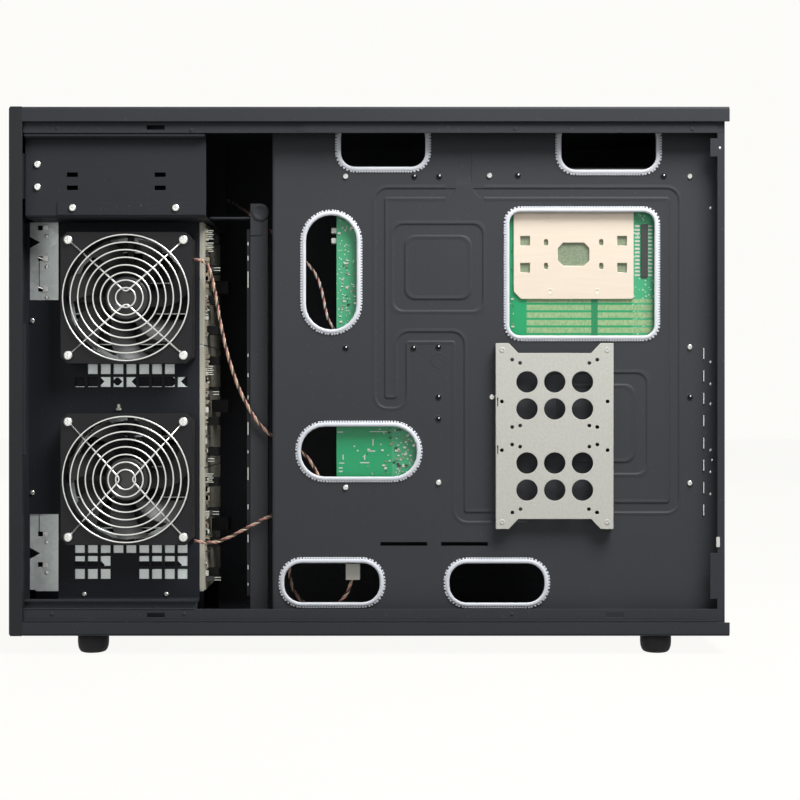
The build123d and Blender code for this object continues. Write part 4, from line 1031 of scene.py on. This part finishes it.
# Fans: two moulded frames on the fan plate, each with a rotor on its shaft.
# Seven swept blades on a round hub, all in black plastic with a soft gloss.
glossy_black = finish(
    "glossy_black", {"Specular IOR Level": 0.6}, moulded((0.012, 0.012, 0.013), (0.020, 0.020, 0.021), 0.36)
)
dress(black_plastic, "upper_fan_frame", "lower_fan_frame", edge=0.5)
fan_x = -221.6
fans = {"upper_fan": 321.4, "lower_fan": 156.1}
hub_rings = ((14.0, -1.7), (20.0, -1.7), (20.0, 15.5), (19.2, 16.8))
hub_rings += ((17.2, 17.3), (16.6, 16.8), (9.0, 16.8), (8.4, 16.4))
hub_y, blade_y, blade_half = -62.4, -70.3, 0.6
blade_count, blade_root, blade_reach, blade_sweep = 7, 19.5, 36.0, 0.32
root_pitch, pitch_drop, root_chord, chord_growth = 52, 26, 12.5, 2.0
camber_height, blade_depth = 1.6, 0.85
for fan, fan_z in fans.items():
    rotor = bmesh.new()
    turned(rotor, hub_rings, (fan_x, hub_y, fan_z), 48, to_open_side)
    for blade in range(blade_count):
        rows = []
        for step in range(9):
            share = step / 8
            radius = blade_root + blade_reach * share
            pitch = math.radians(root_pitch - pitch_drop * share)
            middle = 2 * math.pi * blade / blade_count + blade_sweep * share * share
            row = []
            for across in range(-4, 5):
                chord = across / 4 * (root_chord + chord_growth * share)
                camber = camber_height * (1 - (across / 4) ** 2)
                turn = middle + chord * math.cos(pitch) / radius
                y = blade_y + chord * math.sin(pitch) * blade_depth + camber
                row.append((fan_x + radius * math.cos(turn), y, fan_z + radius * math.sin(turn)))
            rows.append(row)
        for lift in (-blade_half, blade_half):
            grid = [[rotor.verts.new((px, py + lift, pz)) for px, py, pz in row] for row in rows]
            skin(rotor, grid, smooth=True)
    settle(f"{fan}_blades", rotor, [glossy_black], f"{fan}_rotor", "black_plastic", f"{fan}_rotor")


# Fan grilles: nickel plated steel wire, eight rings welded on two bent wires.
# The wires end in eyelets under the four corner screws.
def wire_frames(points, closed=False):
    """Each point of a wire, with two directions square to the way that the wire runs there."""
    upright = None
    for number, here in enumerate(points):
        before = points[number - 1] if closed or number else here
        after = points[(number + 1) % len(points)] if closed or number + 1 < len(points) else here
        way = (after - before).normalized()
        upright = way.orthogonal() if upright is None else upright
        upright = (upright - way * upright.dot(way)).normalized()
        yield here, upright, way.cross(upright)


def wire_run(shape, points, radius, closed=False, index=0):
    """Round wire along points, with eight sides."""
    turns = [2 * math.pi * k / 8 for k in range(8)]
    rows = []
    for here, upright, aside in wire_frames(points, closed):
        spots = [here + radius * (math.cos(t) * upright + math.sin(t) * aside) for t in turns]
        rows.append([shape.verts.new(spot) for spot in spots])
    skin(shape, rows + rows[:1] if closed else rows, ring=True, smooth=True, index=index)
    if not closed:
        shape.faces.new(rows[0]).material_index = index
        shape.faces.new(rows[-1]).material_index = index


rings_y, cross_y, eyelet_y, head_y = -84.6, -82.9, -83.0, -83.6
first_ring, ring_pitch, corner_reach, bend_reach, bend_share = 9.0, 6.9, 52.5, 5.0, 0.06
for fan, fan_z in fans.items():
    grille = bmesh.new()
    for number in range(8):
        circle = ring_of(fan_x, fan_z, first_ring + ring_pitch * number, 64)
        wire_run(grille, [Vector((x, rings_y, z)) for x, z in circle], 0.8, closed=True)
    for side in (-1, 1):
        cross = [(u * corner_reach, side * corner_reach) for u in (-1, 1)]
        cross.insert(1, (0.0, side * bend_reach))
        if fan == "lower_fan":
            cross = [(v, u) for u, v in cross]
        start, bend, end = [Vector((fan_x + u, cross_y, fan_z + v)) for u, v in cross]
        curve = [start.lerp(bend, bend_share)]
        bend_from = bend.lerp(curve[0], bend_share)
        bend_to = bend.lerp(end.lerp(bend, bend_share), bend_share)
        for step in range(9):
            share = step / 8
            curve.append(bend_from.lerp(bend, share).lerp(bend.lerp(bend_to, share), share))
        curve.append(end.lerp(bend, bend_share))
        wire_run(grille, curve, 1.0)
        for u, v in (cross[0], cross[2]):
            eyelet = ring_of(fan_x + u, fan_z + v, 3.6, 24)
            wire_run(grille, [Vector((x, eyelet_y, z)) for x, z in eyelet], 0.8, closed=True)
    settle(f"{fan}_wire_grille", grille, [nickel], "root", "nickel", f"{fan}_grille")
grille_heads = bmesh.new()
for fan_z in fans.values():
    for u, v in four_ways:
        screw_head(grille_heads, fan_x + u * corner_reach, head_y, fan_z + v * corner_reach, 4.2, 2.1)
settle("grille_screw_heads", grille_heads, [nickel], "root", "nickel", "grille_screws")

# Centre post and its strip: folded black steel between the cage and the tray, with a round cap.
# The strip is moulded, with short bright metal dashes along its edge.
post = bmesh.new()
post_foot, post_top, post_left, post_right = 19.5, 402.0, -110.4, -94.2
post_front, post_back, post_sheet = -65.0, -53.2, 1.2
block(post, (post_left, post_front, post_foot), (post_right, post_front + post_sheet, post_top), 0.25)
for side_x in (post_left, post_right - post_sheet):
    low = (side_x, post_front + post_sheet / 2, post_foot)
    block(post, low, (side_x + post_sheet, post_back, post_top), 0.25)
block(post, (-110.2, -65.9, 380.0), (-99.6, -64.9, 409.2), 0.25)
cap_rings = ((8.0, 0.0), (8.1, 0.4), (8.1, 1.6), (7.7, 2.1), (5.2, 2.2), (4.9, 1.9), (0.6, 1.9))
turned(post, cap_rings, (-101.0, -64.6, 401.1), 36, to_open_side)
block(post, (-148.0, -63.6, 395.6), (-110.0, post_back, 397.2), 0.2)
settle("post_channel", post, [tray_coat], "root", "black_steel", "centre_post")
dress(black_plastic, "post_strip", edge=0.2)
post_strip_dashes = bmesh.new()
dash_runs = ((371.0, 374.0), (357.0, 361.5), (332.0, 347.0), (268.0, 271.0), (249.5, 253.0))
dash_runs += ((229.0, 232.5), (196.0, 208.0), (179.0, 182.0), (154.5, 166.0), (127.5, 132.0))
dash_runs += ((97.0, 104.0), (72.0, 76.0), (57.0, 59.5))
for low_z, high_z in dash_runs:
    block(post_strip_dashes, (-113.0, -63.0, low_z), (-112.3, -62.7, high_z), 0.1)
settle("post_strip_dashes", post_strip_dashes, [bright_rivet], "root", "nickel")


# Leads: two fan leads and the panel lead, each of thin wires twisted together.
# They hang from the fans and the front to headers on the board.
def sheath(name, colour):
    """Soft wire insulation in one colour, a little uneven."""
    pale = [min(1.0, 1.3 * part) for part in colour]
    return finish(
        name,
        {"Roughness": 0.4},
        lambda sheet: {"Base Color": tint(sheet, noise(sheet, 240.0), (*colour, 1), (*pale, 1))},
    )


pink_sheath = sheath("pink_sheath", (0.52, 0.26, 0.22))
dark_sheath = sheath("dark_sheath", (0.060, 0.034, 0.028))
amber_sheath = sheath("amber_sheath", (0.60, 0.46, 0.32))
white_sheath = sheath("white_sheath", (0.55, 0.54, 0.50))


def lead_line(route):
    """Points along the smooth line of a route."""
    curve = bpy.data.curves.new("lead_line", "CURVE")
    curve.dimensions = "3D"
    spline = curve.splines.new("NURBS")
    spline.points.add(len(route) - 1)
    for point, place in zip(spline.points, route):
        point.co = (*place, 1)
    spline.order_u = 3
    spline.use_endpoint_u = True
    spline.resolution_u = 12
    holder = bpy.data.objects.new("lead_line", curve)
    mesh = bpy.data.meshes.new_from_object(holder)
    points = [vert.co.copy() for vert in mesh.vertices]
    bpy.data.objects.remove(holder)
    bpy.data.curves.remove(curve)
    bpy.data.meshes.remove(mesh)
    return points


def twisted_lead(name, route, strands, lay, spread, thickness, carries=()):
    """Strands laid round the route's smooth line, lay millimetres to a turn."""
    line = [1000 * point for point in lead_line(route)]
    shape = bmesh.new()
    passed = 0.0
    before = line[0]
    runs = [[] for strand in strands]
    for here, upright, aside in wire_frames(line):
        passed += (here - before).length
        before = here
        for k, run in enumerate(runs):
            turn = 2 * math.pi * (passed / lay + k / len(strands))
            run.append(here + spread * (math.cos(turn) * upright + math.sin(turn) * aside))
    for k, run in enumerate(runs):
        wire_run(shape, run, thickness / 2, index=k)
    lead = settle(f"{name}_wires", shape, strands, "root", "lead_sheath", name)
    metres = [0.001 * point for point in line]
    length = sum((b - a).length for a, b in zip(metres, metres[1:]))
    tuple(metres[0])
    0.001 * (2 * spread + thickness)
    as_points(metres)
    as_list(carries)


fan_wires = {
    "strands": [pink_sheath, dark_sheath, amber_sheath],
    "lay": 13.0,
    "spread": 0.95,
    "thickness": 1.6,
}
twisted_lead(
    "upper_fan_lead",
    [
        (-0.1616, -0.0700, 0.3570), (-0.1550, -0.0700, 0.3570), (-0.1495, -0.0700, 0.3530),
        (-0.1460, -0.0698, 0.3450), (-0.1426, -0.0692, 0.3290), (-0.1370, -0.0685, 0.2960),
        (-0.1305, -0.0685, 0.2680), (-0.1220, -0.0690, 0.2420), (-0.1120, -0.0700, 0.2215),
        (-0.1010, -0.0705, 0.2050), (-0.0880, -0.0705, 0.1935), (-0.0730, -0.0700, 0.1870),
        (-0.0595, -0.0695, 0.1785), (-0.0515, -0.0695, 0.1670), (-0.0460, -0.0695, 0.1555),
        (-0.0385, -0.0695, 0.1490), (-0.0299, -0.0695, 0.1490),
    ],
    **fan_wires,
)
twisted_lead(
    "lower_fan_lead",
    [
        (-0.1616, -0.0700, 0.0990), (-0.1470, -0.0705, 0.0960), (-0.1310, -0.0710, 0.1010),
        (-0.1107, -0.0720, 0.1120), (-0.0920, -0.0715, 0.1220), (-0.0800, -0.0640, 0.1250),
        (-0.0750, -0.0530, 0.1180), (-0.0750, -0.0460, 0.1040), (-0.0760, -0.0450, 0.0840),
        (-0.0760, -0.0460, 0.0640), (-0.0710, -0.0500, 0.0480), (-0.0600, -0.0550, 0.0380),
        (-0.0460, -0.0600, 0.0345), (-0.0320, -0.0650, 0.0380), (-0.0220, -0.0685, 0.0480),
        (-0.0165, -0.0695, 0.0620), (-0.0145, -0.0695, 0.0800), (-0.0140, -0.0695, 0.1000),
        (-0.0136, -0.0695, 0.1200), (-0.0136, -0.0696, 0.1360),
    ],
    **fan_wires,
    carries=[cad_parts["lead_connector"]],
)
twisted_lead(
    "panel_lead",
    [
        (-0.3000, 0.0800, 0.4400), (-0.2880, 0.0800, 0.4400), (-0.2660, 0.0790, 0.4370),
        (-0.2360, 0.0775, 0.4340), (-0.2060, 0.0760, 0.4360), (-0.1780, 0.0730, 0.4380),
        (-0.1540, 0.0660, 0.4340), (-0.1380, 0.0490, 0.4250), (-0.1290, 0.0240, 0.4170),
        (-0.1220, -0.0040, 0.4115), (-0.1140, -0.0290, 0.4040), (-0.1030, -0.0450, 0.3940),
        (-0.0890, -0.0500, 0.3830), (-0.0740, -0.0530, 0.3700), (-0.0600, -0.0570, 0.3570),
        (-0.0500, -0.0610, 0.3450), (-0.0445, -0.0645, 0.3300), (-0.0415, -0.0675, 0.3140),
        (-0.0380, -0.0695, 0.3000), (-0.0310, -0.0695, 0.2910),
    ],
    [white_sheath, pink_sheath, dark_sheath],
    lay=10.0,
    spread=0.8,
    thickness=1.4,
)

# White connector on the lower fan lead: a moulded nylon shell round the joined wires.
# It hangs on the lead behind the lower front cut-out.
dress(white_nylon, "lead_connector", edge=0.5)

shown_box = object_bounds()
boxes = {"cad": cad_box, "shown": shown_box}
{name: [list(corner) for corner in box] for name, box in boxes.items()}
